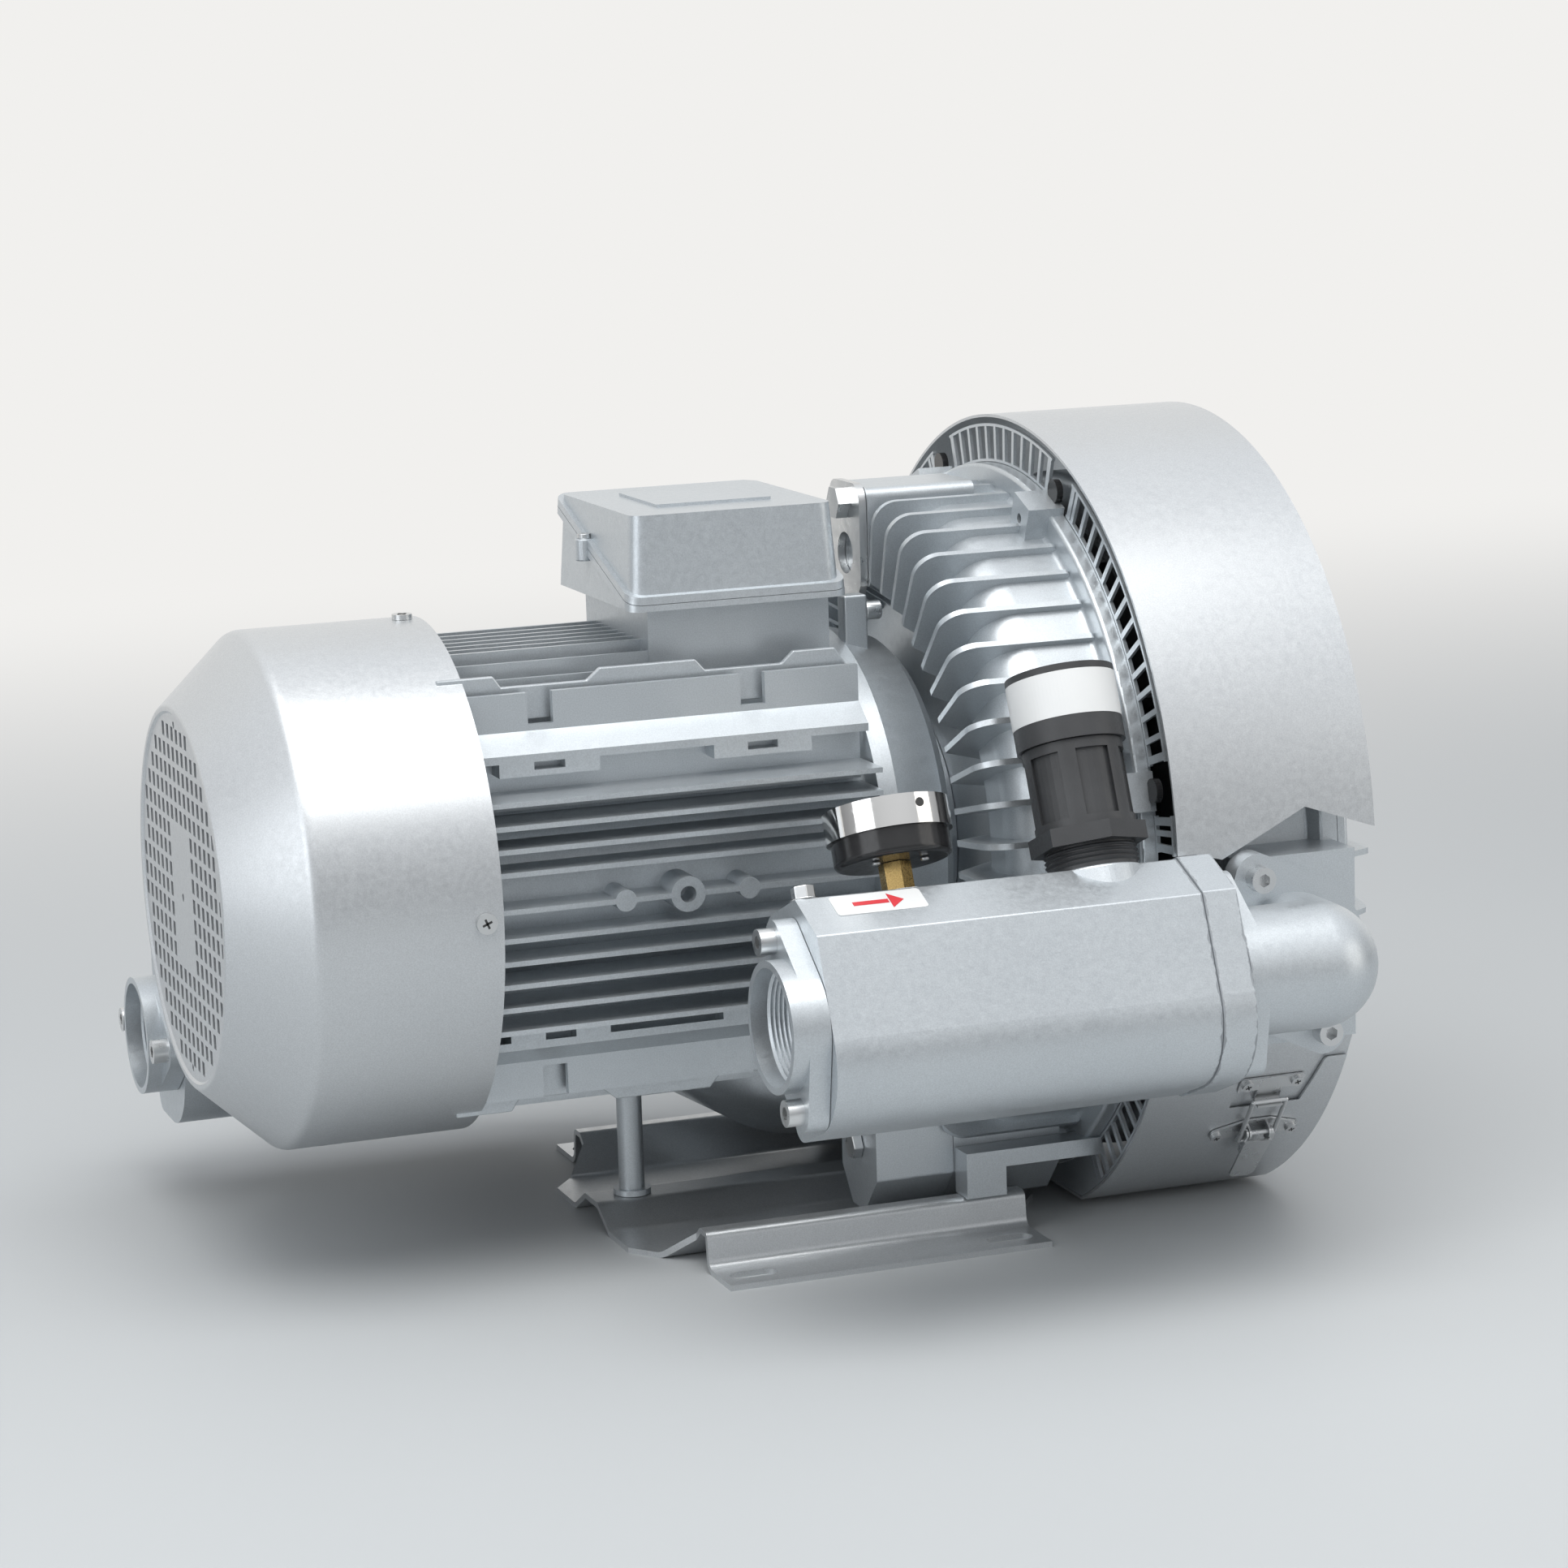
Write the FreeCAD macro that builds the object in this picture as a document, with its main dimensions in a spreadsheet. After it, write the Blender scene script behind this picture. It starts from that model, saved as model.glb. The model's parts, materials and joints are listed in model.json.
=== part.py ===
import FreeCAD, Part
import math
import os

import Sketcher

Vec = FreeCAD.Vector
os.makedirs("parts", exist_ok=True)
doc = FreeCAD.newDocument("side_channel_blower")

# Driving dimensions in millimetres, angles in degrees.
SIZES = {
    "axis_height": 197.3,
    "running_gap": 0.05,
    "seat_gap": 0.3,
    # base frame, one pressed sheet
    "base_half_length": 87.5,
    "base_tongue": 26.0,
    "base_sheet": 3.0,
    "base_half_width": 148.0,
    "base_flange_inner": 115.0,
    "base_crest_y": 107.0,
    "base_crest_z": 21.0,
    "base_middle_crest": 13.5,
    "slot_pitch_x": 140.0,
    "slot_pitch_y": 266.0,
    "slot_radius": 5.5,
    "slot_length": 14.0,
    "post_x": -90.5,
    "post_radius": 6.75,
    "post_collar_radius": 10.0,
    "post_collar_height": 3.0,
    "foot_block_x": 65.0,
    "foot_block_length": 22.0,
    "foot_block_width": 16.0,
    # motor
    "motor_rear_x": -205.0,
    "motor_front_x": 26.0,
    "motor_fin_front_x": 14.0,
    "motor_ring_length": 10.0,
    "motor_bore_radius": 88.0,
    "motor_wall": 7.0,
    "motor_ring_radius": 111.5,
    "motor_fin_reach": 115.6,
    "motor_round_radius": 125.0,
    "fin_thickness": 2.6,
    "side_fin_pitch": 11.6,
    "side_fin_first": 18.5,
    "top_fin_pitch": 12.5,
    "plate_face_y": 84.0,
    "plate_top_z": 103.0,
    "plate_bottom_z": 84.0,
    "plate_thickness": 4.0,
    "ledge_y": 97.0,
    "ledge_z": 74.5,
    "pad_bottom_z": 63.5,
    "notch_width": 13.0,
    "notch_depth": 16.0,
    "boss_x": -91.5,
    "boss_pitch": 32.5,
    "boss_radius": 9.0,
    "boss_hole_radius": 4.2,
    "shaft_radius": 15.0,
    "rotor_radius": 54.4,
    "air_gap": 0.6,
    "stator_length": 138.0,
    "stator_centre_x": -80.0,
    "bearing_radius": 31.0,
    "bearing_width": 16.0,
    "rear_bearing_x": -221.0,
    "front_bearing_x": 40.0,
    "bell_length": 27.0,
    "bell_end_radius": 103.5,
    "fan_x": -292.0,
    "fan_radius": 92.0,
    "fan_blades": 7,
    "cover_end_x": -323.0,
    "cover_shoulder_x": -285.0,
    "cover_open_x": -192.0,
    "cover_radius": 132.6,
    "cover_end_radius": 97.6,
    "cover_sheet": 2.0,
    "cover_screw_inset": 9.2,
    "cover_screw_radius": 2.5,
    "grille_pitch": 10.4,
    "grille_slot_width": 5.2,
    "grille_slot_height": 7.4,
    "grille_field_radius": 92.5,
    # terminal box
    "box_left_x": -99.0,
    "box_right_x": 15.0,
    "box_half_width": 64.0,
    "box_floor_z": 333.0,
    "box_top_z": 381.0,
    "box_draft": 3.0,
    "box_wall": 3.5,
    "box_lip": 2.5,
    "pedestal_inset": 12.0,
    "entry_radius": 12.5,
    # motor side stage
    "stage_rim_x": 130.0,
    "stage_rim_radius": 190.0,
    "rim_thickness": 8.0,
    "hub_wall_x": 74.0,
    "dome_left_x": 64.0,
    "dome_radius": 177.0,
    "dome_inner_radius": 130.0,
    "stage_wall": 6.0,
    "stage_fins": 54,
    "stage_fin_x": 45.0,
    "stage_fin_radius": 181.0,
    "stage_fin_tip_radius": 137.0,
    "stage_fin_thickness": 3.0,
    "impeller_radius": 171.0,
    "impeller_hub_radius": 34.0,
    "impeller_blades": 40,
    "blade_thickness": 2.0,
    "lug_size": 20.0,
    "lug_angle_low": 13.0,
    "lug_angle_high": 67.0,
    # end stage
    "cooling_wheel_x": 134.0,
    "cooling_wheel_width": 20.0,
    "cooling_wheel_radius": 168.0,
    "cooling_wheel_blades": 12,
    "end_stage_x": 160.0,
    "end_joint_x": 231.0,
    "end_cover_x": 238.0,
    "end_stage_radius": 183.0,
    "end_fin_x": 254.0,
    "end_fin_radius": 189.0,
    "end_fins": 36,
    # shroud
    "shroud_radius": 215.6,
    "shroud_lower_radius": 212.5,
    "shroud_left_x": 130.0,
    "shroud_right_x": 239.0,
    "shroud_sheet": 1.5,
    "shroud_floor_z": 4.5,
    "grid_thickness": 2.0,
    "grid_slot_width": 6.0,
    "grid_slots": 96,
    # silencers
    "silencer_y": 250.0,
    "silencer_z": 159.0,
    "silencer_tilt": 22.5,
    "silencer_left_x": -79.0,
    "silencer_length": 198.0,
    "silencer_wall": 4.0,
    "silencer_out": 31.0,
    "silencer_in": 42.0,
    "silencer_up": 58.0,
    "silencer_down": 52.0,
    "silencer_chamfer": 22.0,
    "silencer_round": 38.0,
    "far_silencer_y": 152.0,
    "far_silencer_z": 92.0,
    "far_silencer_left_x": -302.0,
    "port_outer_radius": 31.8,
    "port_bore_radius": 28.4,
    "port_ring_length": 8.0,
    "ear_thickness": 11.0,
    "ear_pitch": 41.0,
    "ear_radius": 10.0,
    "liner_radius": 26.4,
    "liner_bore_radius": 23.0,
    "end_flange_thickness": 18.0,
    "elbow_flange_thickness": 10.0,
    "elbow_x": 186.0,
    "elbow_plate_y": 214.0,
    "elbow_plate_thickness": 12.0,
    "elbow_plate_radius": 41.0,
    "elbow_ear_pitch": 44.6,
    "elbow_ear_angle": 24.0,
    "elbow_bore_radius": 27.0,
    # fasteners
    "screw_radius": 4.0,
    "screw_head_radius": 6.5,
    "screw_head_height": 8.0,
    "screw_socket_radius": 3.4,
    # duct under the stage
    "duct_y": 75.0,
    "duct_z": 48.0,
    "duct_half_width": 25.0,
    "duct_cap_x": 10.5,
    "duct_joint_x": 53.5,
    "bend_radius": 34.0,
    # pressure gauge
    "gauge_x": -17.5,
    "gauge_across": 14.0,
    "gauge_radius": 30.0,
    "gauge_case_height": 15.0,
    "gauge_bezel_height": 15.0,
    "gauge_stem_height": 14.0,
    "gauge_stem_flats": 14.0,
    "washer_radius": 13.0,
    # relief valve
    "valve_x": 81.5,
    "valve_across": 6.0,
    "valve_neck_radius": 22.0,
    "valve_neck_height": 12.0,
    "valve_hex_radius": 28.5,
    "valve_hex_height": 9.0,
    "valve_cage_height": 42.0,
    "valve_cage_radius": 25.0,
    "valve_cap_height": 37.0,
    "valve_cap_radius": 27.0,
    "valve_windows": 6,
    "poppet_radius": 17.0,
    # lifting bracket
    "eye_radius": 11.0,
    "eye_z": 346.0,
    "bracket_bolt_z": 373.0,
    # latches
    "latch_angle": -42.5,
    "catch_angle": -33.4,
    "catch_screw_pitch": 28.0,
    "wire_radius": 1.2,
    "latch_pivot_height": 5.0,
    "latch_throw": 6.0,
    "latch_reach": 24.0,
    "latch_x": 199.0,
}

sheet = doc.addObject("Spreadsheet::Sheet", "Sizes")
for row, (alias, number) in enumerate(SIZES.items(), start=1):
    sheet.set("A%d" % row, alias)
    sheet.set("B%d" % row, str(number))
    sheet.setAlias("B%d" % row, alias)
doc.recompute()


class Size:
    """A length that knows its number and its formula in the sheet."""

    def __init__(self, value, text):
        self.value = float(value)
        self.text = text

    def __add__(self, other):
        other = size(other)
        return Size(self.value + other.value, "(%s + %s)" % (self.text, other.text))

    def __radd__(self, other):
        return size(other) + self

    def __sub__(self, other):
        other = size(other)
        return Size(self.value - other.value, "(%s - %s)" % (self.text, other.text))

    def __rsub__(self, other):
        return size(other) - self

    def __mul__(self, other):
        other = size(other)
        return Size(self.value * other.value, "(%s * %s)" % (self.text, other.text))

    def __rmul__(self, other):
        return size(other) * self

    def __neg__(self):
        return size(0) - self

    def __truediv__(self, other):
        other = size(other)
        return Size(self.value / other.value, "(%s / %s)" % (self.text, other.text))

    def __float__(self):
        return self.value


def size(number):
    if isinstance(number, Size):
        return number
    return Size(number, repr(float(number)))


class Sheet:
    """Reads a named size from the spreadsheet, as a number and as a formula."""

    def __getattr__(self, alias):
        return Size(float(sheet.get(alias)), "Sizes." + alias)


dim = Sheet()
nodes = {}


def count(number):
    return int(round(float(number)))


def add_node(label, item):
    item.Label = label
    nodes[label] = item
    return item


def bind(item, prop, length):
    length = size(length)
    item.setExpression(prop, length.text)


def place(item, x=0, y=0, z=0, axis=None, angle=0):
    if axis is not None:
        item.Placement = FreeCAD.Placement(Vec(0, 0, 0), FreeCAD.Rotation(Vec(*axis), angle))
    for name, value in (("x", x), ("y", y), ("z", z)):
        bind(item, "Placement.Base." + name, value)
    return item


AXIS_TURN = {"x": ((0, 1, 0), 90), "y": ((1, 0, 0), -90), "z": ((0, 0, 1), 0)}


def box(dx, dy, dz, x, y, z):
    """A block with its low corner at x, y, z."""
    item = doc.addObject("Part::Box", "Block")
    bind(item, "Length", dx)
    bind(item, "Width", dy)
    bind(item, "Height", dz)
    return place(item, x, y, z)


def cylinder(radius, length, x, y, z, along="x"):
    item = doc.addObject("Part::Cylinder", "Round")
    bind(item, "Radius", radius)
    bind(item, "Height", length)
    axis, angle = AXIS_TURN[along]
    return place(item, x, y, z, axis, angle)


def fuse(*items):
    item = doc.addObject("Part::MultiFuse", "Union")
    item.Shapes = list(items)
    return item


def cut(base, *tools):
    for tool in tools:
        item = doc.addObject("Part::Cut", "Difference")
        item.Base = base
        item.Tool = tool
        base = item
    return base


def feature(label, shape):
    item = doc.addObject("Part::Feature", label)
    item.Shape = shape
    return add_node(label, item)


def origin_plane(body, role):
    return [plane for plane in body.Origin.OriginFeatures if plane.Role == role][0]


def outline_sketch(body, name, plane, outline):
    """A closed sketch whose corners are held by the sheet."""
    sketch = body.newObject("Sketcher::SketchObject", name)
    sketch.AttachmentSupport = [(origin_plane(body, plane), "")]
    sketch.MapMode = "FlatFace"
    corners = [(size(a), size(b)) for a, b in outline]
    total = len(corners)
    for i in range(total):
        a, b = corners[i]
        c, d = corners[(i + 1) % total]
        sketch.addGeometry(Part.LineSegment(Vec(a.value, b.value, 0), Vec(c.value, d.value, 0)), False)
    for i in range(total):
        sketch.addConstraint(Sketcher.Constraint("Coincident", i, 2, (i + 1) % total, 1))
    for i, corner in enumerate(corners):
        for kind, length, own_axis in (("DistanceX", corner[0], -2), ("DistanceY", corner[1], -1)):
            if abs(length.value) < 1e-9:
                sketch.addConstraint(Sketcher.Constraint("PointOnObject", i, 1, own_axis))
                continue
            index = sketch.addConstraint(Sketcher.Constraint(kind, -1, 1, i, 1, length.value))
            sketch.setExpression("Constraints[%d]" % index, length.text)
    return sketch


def turned(label, outline, node=True):
    """A body of revolution about the motor axis; the outline is in x and radius."""
    body = doc.addObject("PartDesign::Body", label)
    sketch = outline_sketch(body, label + "_outline", "XZ_Plane", outline)
    doc.recompute()
    turn = body.newObject("PartDesign::Revolution", label + "_turn")
    turn.Profile = sketch
    turn.ReferenceAxis = (sketch, ["H_Axis"])
    turn.Angle = 360
    sketch.Visibility = False
    bind(body, "Placement.Base.z", dim.axis_height)
    doc.recompute()
    if node:
        add_node(label, body)
    return body


def group_bodies(label, bodies):
    """One node that holds several separate bodies."""
    item = doc.addObject("Part::Compound", label)
    item.Links = bodies
    return add_node(label, item)


def round_edges(body, radius, wanted):
    """Rounds the edges of the body's tip that the test picks."""
    tip = body.Tip
    names = ["Edge%d" % (i + 1) for i, edge in enumerate(tip.Shape.Edges) if wanted(edge)]
    fillet = body.newObject("PartDesign::Fillet", body.Name + "_round")
    fillet.Base = (tip, names)
    bind(fillet, "Radius", radius)
    doc.recompute()
    return fillet


def circle_at(x, radius, slack=0.05):
    """Picks full circles about the axis by place and radius."""
    def test(edge):
        curve = edge.Curve
        if not isinstance(curve, Part.Circle):
            return False
        return abs(curve.Center.x - float(x)) < slack and abs(curve.Radius - float(radius)) < slack
    return test


def slab(body, name, plane, outline, length, midplane=False, reverse=False):
    sketch = outline_sketch(body, name + "_outline", plane, outline)
    doc.recompute()
    pad = body.newObject("PartDesign::Pad", name)
    pad.Profile = sketch
    bind(pad, "Length", length)
    pad.Midplane = midplane
    pad.Reversed = reverse
    doc.recompute()
    return pad


def polar(body, features, occurrences):
    """Repeats features of the body round its own X axis."""
    pattern = body.newObject("PartDesign::PolarPattern", body.Name + "_ring")
    pattern.Originals = features
    axis = [line for line in body.Origin.OriginFeatures if line.Role == "X_Axis"][0]
    pattern.Axis = (axis, [""])
    pattern.Angle = 360
    bind(pattern, "Occurrences", occurrences)
    body.Tip = pattern
    doc.recompute()
    return pattern


# Plain shapes for pieces whose outline has tangent arcs.

def rounded_edges(corners, closed=True):
    """Straight runs joined by tangent arcs; a corner is (a, b, radius) in a plane."""
    total = len(corners)
    marks = []
    for i, (a, b, radius) in enumerate(corners):
        corner = Vec(float(a), float(b), 0)
        ends = not closed and i in (0, total - 1)
        if float(radius) <= 0 or ends:
            marks.append((corner, None, corner))
            continue
        before = Vec(float(corners[i - 1][0]), float(corners[i - 1][1]), 0)
        after = Vec(float(corners[(i + 1) % total][0]), float(corners[(i + 1) % total][1]), 0)
        back = (before - corner).normalize()
        ahead = (after - corner).normalize()
        half = back.getAngle(ahead) / 2
        reach = float(radius) / math.tan(half)
        bisector = (back + ahead).normalize()
        centre = corner + bisector * (float(radius) / math.sin(half))
        marks.append((corner + back * reach, centre - bisector * float(radius), corner + ahead * reach))
    edges = []
    runs = total if closed else total - 1
    for i in range(total):
        start, middle, end = marks[i]
        if middle is not None:
            edges.append(Part.Arc(start, middle, end).toShape())
        if i < runs:
            target = marks[(i + 1) % total][0]
            if (target - end).Length > 1e-6:
                edges.append(Part.LineSegment(end, target).toShape())
    return edges


def in_plane(shape, plane):
    """Turns a shape drawn in XY so that its axes are those of the named plane."""
    matrix = FreeCAD.Matrix()
    if plane == "YZ":
        matrix = FreeCAD.Matrix(0, 0, 1, 0, 1, 0, 0, 0, 0, 1, 0, 0, 0, 0, 0, 1)
    if plane == "XZ":
        matrix = FreeCAD.Matrix(1, 0, 0, 0, 0, 0, -1, 0, 0, 1, 0, 0, 0, 0, 0, 1)
    return shape.transformed(matrix)


def rounded_face(corners):
    return Part.Face(Part.Wire(rounded_edges(corners)))


def bar(corners, plane, start, length):
    """Extrudes a rounded outline from start along the plane's normal axis."""
    solid = in_plane(rounded_face(corners), plane)
    axis = {"YZ": Vec(1, 0, 0), "XZ": Vec(0, 1, 0), "XY": Vec(0, 0, 1)}[plane]
    solid.translate(axis * float(start))
    return solid.extrude(axis * float(length))


def rod(radius, length, base, direction):
    return Part.makeCylinder(float(radius), float(length), base, direction)


def tube(outer, inner, length, base, direction):
    return rod(outer, length, base, direction).cut(rod(inner, length, base, direction))


def ear_outline(radius, ear_radius, pitch, ears=(90, 270)):
    """Outline corners of a flange with two ears, as one face in XY."""
    radius, ear_radius, pitch = float(radius), float(ear_radius), float(pitch)
    spread = math.degrees(math.acos((radius - ear_radius) / pitch))
    edges = []

    def on_circle(centre, reach, degrees):
        angle = math.radians(degrees)
        return centre + Vec(reach * math.cos(angle), reach * math.sin(angle), 0)

    centres = [on_circle(Vec(0, 0, 0), pitch, angle) for angle in ears]
    for i, angle in enumerate(ears):
        ear = centres[i]
        enter = on_circle(Vec(0, 0, 0), radius, angle - spread)
        ear_in = on_circle(ear, ear_radius, angle - spread)
        ear_top = on_circle(ear, ear_radius, angle)
        ear_out = on_circle(ear, ear_radius, angle + spread)
        leave = on_circle(Vec(0, 0, 0), radius, angle + spread)
        following = ears[(i + 1) % len(ears)] + (360 if i + 1 == len(ears) else 0)
        middle = on_circle(Vec(0, 0, 0), radius, (angle + following) / 2)
        next_enter = on_circle(Vec(0, 0, 0), radius, following - spread)
        edges.append(Part.LineSegment(enter, ear_in).toShape())
        edges.append(Part.Arc(ear_in, ear_top, ear_out).toShape())
        edges.append(Part.LineSegment(ear_out, leave).toShape())
        edges.append(Part.Arc(leave, middle, next_enter).toShape())
    return Part.Face(Part.Wire(edges))


def frame_at(origin, normal, up):
    """A placement whose Z axis is the normal and whose Y axis is up."""
    normal = Vec(normal).normalize()
    up = Vec(up).normalize()
    side = up.cross(normal)
    matrix = FreeCAD.Matrix(side.x, up.x, normal.x, origin.x, side.y, up.y, normal.y, origin.y,
                            side.z, up.z, normal.z, origin.z, 0, 0, 0, 1)
    return FreeCAD.Placement(matrix)


def placed(shape, placement):
    copy = shape.copy()
    copy.Placement = placement.multiply(copy.Placement)
    return copy


def cap_screw(length, scale=1.0):
    """A socket head screw with its head above the XY plane and its shank below."""
    head = rod(dim.screw_head_radius * scale, dim.screw_head_height * scale, Vec(0, 0, 0), Vec(0, 0, 1))
    shank = rod(dim.screw_radius * scale - dim.running_gap, length, Vec(0, 0, 0), Vec(0, 0, -1))
    depth = float(dim.screw_head_height) * scale * 0.6
    reach = float(dim.screw_socket_radius) * scale
    top = float(dim.screw_head_height) * scale
    ring = [Vec(reach * math.cos(math.radians(60 * i)), reach * math.sin(math.radians(60 * i)), top)
            for i in range(7)]
    socket = Part.Face(Part.makePolygon(ring)).extrude(Vec(0, 0, -depth))
    return head.fuse(shank).cut(socket).removeSplitter()


def hexagon(across_flats, height, base=None):
    reach = float(across_flats) / math.sqrt(3)
    ring = [Vec(reach * math.cos(math.radians(60 * i)), reach * math.sin(math.radians(60 * i)), 0)
            for i in range(7)]
    solid = Part.Face(Part.makePolygon(ring)).extrude(Vec(0, 0, float(height)))
    if base is not None:
        solid.translate(base)
    return solid


def hex_screw(radius, length, scale=1.0):
    head = hexagon(float(radius) * 3.2, float(radius) * 1.3)
    shank = rod(radius, length, Vec(0, 0, 0), Vec(0, 0, -1))
    return head.fuse(shank).removeSplitter()


def group(label, shapes):
    return feature(label, Part.makeCompound(shapes))


AXIS_Z = float(dim.axis_height)
X_AXIS = Vec(1, 0, 0)


def around_axis(shape, degrees):
    """Turns a copy of the shape about the motor axis."""
    copy = shape.copy()
    copy.rotate(Vec(0, 0, AXIS_Z), X_AXIS, degrees)
    return copy


# Base, post and feet

def base_plate():
    half = float(dim.base_half_length)
    thick = float(dim.base_sheet)
    inner = float(dim.base_flange_inner)
    crest = float(dim.base_crest_y)
    middle = float(dim.base_middle_crest)
    side = [
        (-dim.base_half_width, thick, 0),
        (-inner, thick, 5),
        (-(crest + 6), dim.base_crest_z, 4),
        (-(crest - 5), dim.base_crest_z, 5),
        (-78, thick, 6),
    ]
    valley = [(-30, thick, 8), (-11, middle, 9)]
    mirror = [(-float(a), b, r) for a, b, r in reversed(side + valley)]
    path = side + valley + mirror
    top = Part.Wire(rounded_edges(path, closed=False))
    section = top.makeOffset2D(-thick, 0, True, True)
    if section.BoundBox.YMin > 0.5:
        section = top.makeOffset2D(thick, 0, True, True)
    section = in_plane(section, "YZ")
    reach = half + float(dim.base_tongue)
    section.translate(Vec(-reach, 0, 0))
    plate = section.extrude(Vec(2 * reach, 0, 0))
    plate = plate.Solids[0] if plate.Solids else plate
    tongue_half = 62.0
    slope = 34.0
    span = float(dim.base_half_width) + 1
    outline = [
        (-half, -span, 0), (-half, -tongue_half - slope, 0), (-reach, -tongue_half, 0),
        (-reach, tongue_half, 0), (-half, tongue_half + slope, 0), (-half, span, 0),
        (half, span, 0), (half, tongue_half + slope, 0), (reach, tongue_half, 0),
        (reach, -tongue_half, 0), (half, -tongue_half - slope, 0), (half, -span, 0),
    ]
    plate = plate.common(bar(outline, "XY", -1, 60))
    tools = []
    for sx in (-1, 1):
        for sy in (-1, 1):
            cx = sx * float(dim.slot_pitch_x) / 2
            cy = sy * float(dim.slot_pitch_y) / 2
            run = float(dim.slot_length) / 2
            r = float(dim.slot_radius)
            slot = [(cx - run - r, cy - r, r * 0.999), (cx + run + r, cy - r, r * 0.999),
                    (cx + run + r, cy + r, r * 0.999), (cx - run - r, cy + r, r * 0.999)]
            tools.append(bar(slot, "XY", -1, 8))
    tools.append(rod(4.0, 30, Vec(float(dim.post_x), 0, -1), Vec(0, 0, 1)))
    for x in (float(dim.foot_block_x),):
        for sy in (-1, 1):
            tools.append(rod(4.0, 40, Vec(x, sy * crest, -1), Vec(0, 0, 1)))
    return feature("base_plate", plate.cut(tools))


def support_post():
    """The round post under the motor, with its collar, standing on the base."""
    foot = dim.base_middle_crest + dim.seat_gap
    top = dim.axis_height - MOTOR_BOTTOM - dim.seat_gap
    post = cylinder(dim.post_radius, top - foot, dim.post_x, 0, foot, "z")
    collar = cylinder(dim.post_collar_radius, dim.post_collar_height, dim.post_x, 0, foot, "z")
    return add_node("motor_support_post", fuse(post, collar))


MOTOR_BOTTOM = dim.plate_top_z + 16.0
MOTOR_TOP = dim.plate_top_z + 15.0


# Motor

def motor_outline_blocks():
    """Plates, ledges and slotted pads at the four corners of the motor frame."""
    front = float(dim.motor_fin_front_x)
    rear = float(dim.motor_rear_x)
    run = front - rear
    thick = float(dim.plate_thickness)
    face = float(dim.plate_face_y)
    top = float(dim.plate_top_z)
    low = float(dim.plate_bottom_z)
    ledge_y = float(dim.ledge_y)
    ledge_z = float(dim.ledge_z)
    pad = float(dim.pad_bottom_z)
    solids = []
    for sy in (-1, 1):
        for sz in (-1, 1):
            corners = [(face - thick, 40), (face - thick, top), (face, top), (face, low),
                       (ledge_y, ledge_z), (ledge_y, ledge_z - 4), (face, low - 5), (face, 40)]
            pts = [(sy * a, AXIS_Z + sz * b, 0) for a, b in corners]
            plate = bar(pts, "YZ", rear, run)
            tools = []
            for centre in (-155.0, -43.0):
                width = float(dim.notch_width)
                depth = float(dim.notch_depth)
                level = AXIS_Z + sz * (top - depth / 2 + 1)
                tools.append(Part.makeBox(width, 14, depth + 2,
                             Vec(centre - width / 2, sy * face - 7, level - depth / 2 - 1)))
            plate = plate.cut(tools)
            pieces = [plate]
            for centre in (-155.0, -43.0):
                width = 52.0
                y0 = sy * (ledge_y - 14) if sy > 0 else -ledge_y
                z0 = AXIS_Z + (pad if sz > 0 else -ledge_z)
                block = Part.makeBox(width, 14, ledge_z - pad, Vec(centre - width / 2, y0, z0))
                window = Part.makeBox(16, 9, ledge_z - pad - 3,
                                      Vec(centre - 8, sy * ledge_y - (9 if sy > 0 else 0), z0 + (0 if sz < 0 else 3)))
                pieces.append(block.cut(window))
            solids.extend(pieces)
    return solids


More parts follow.
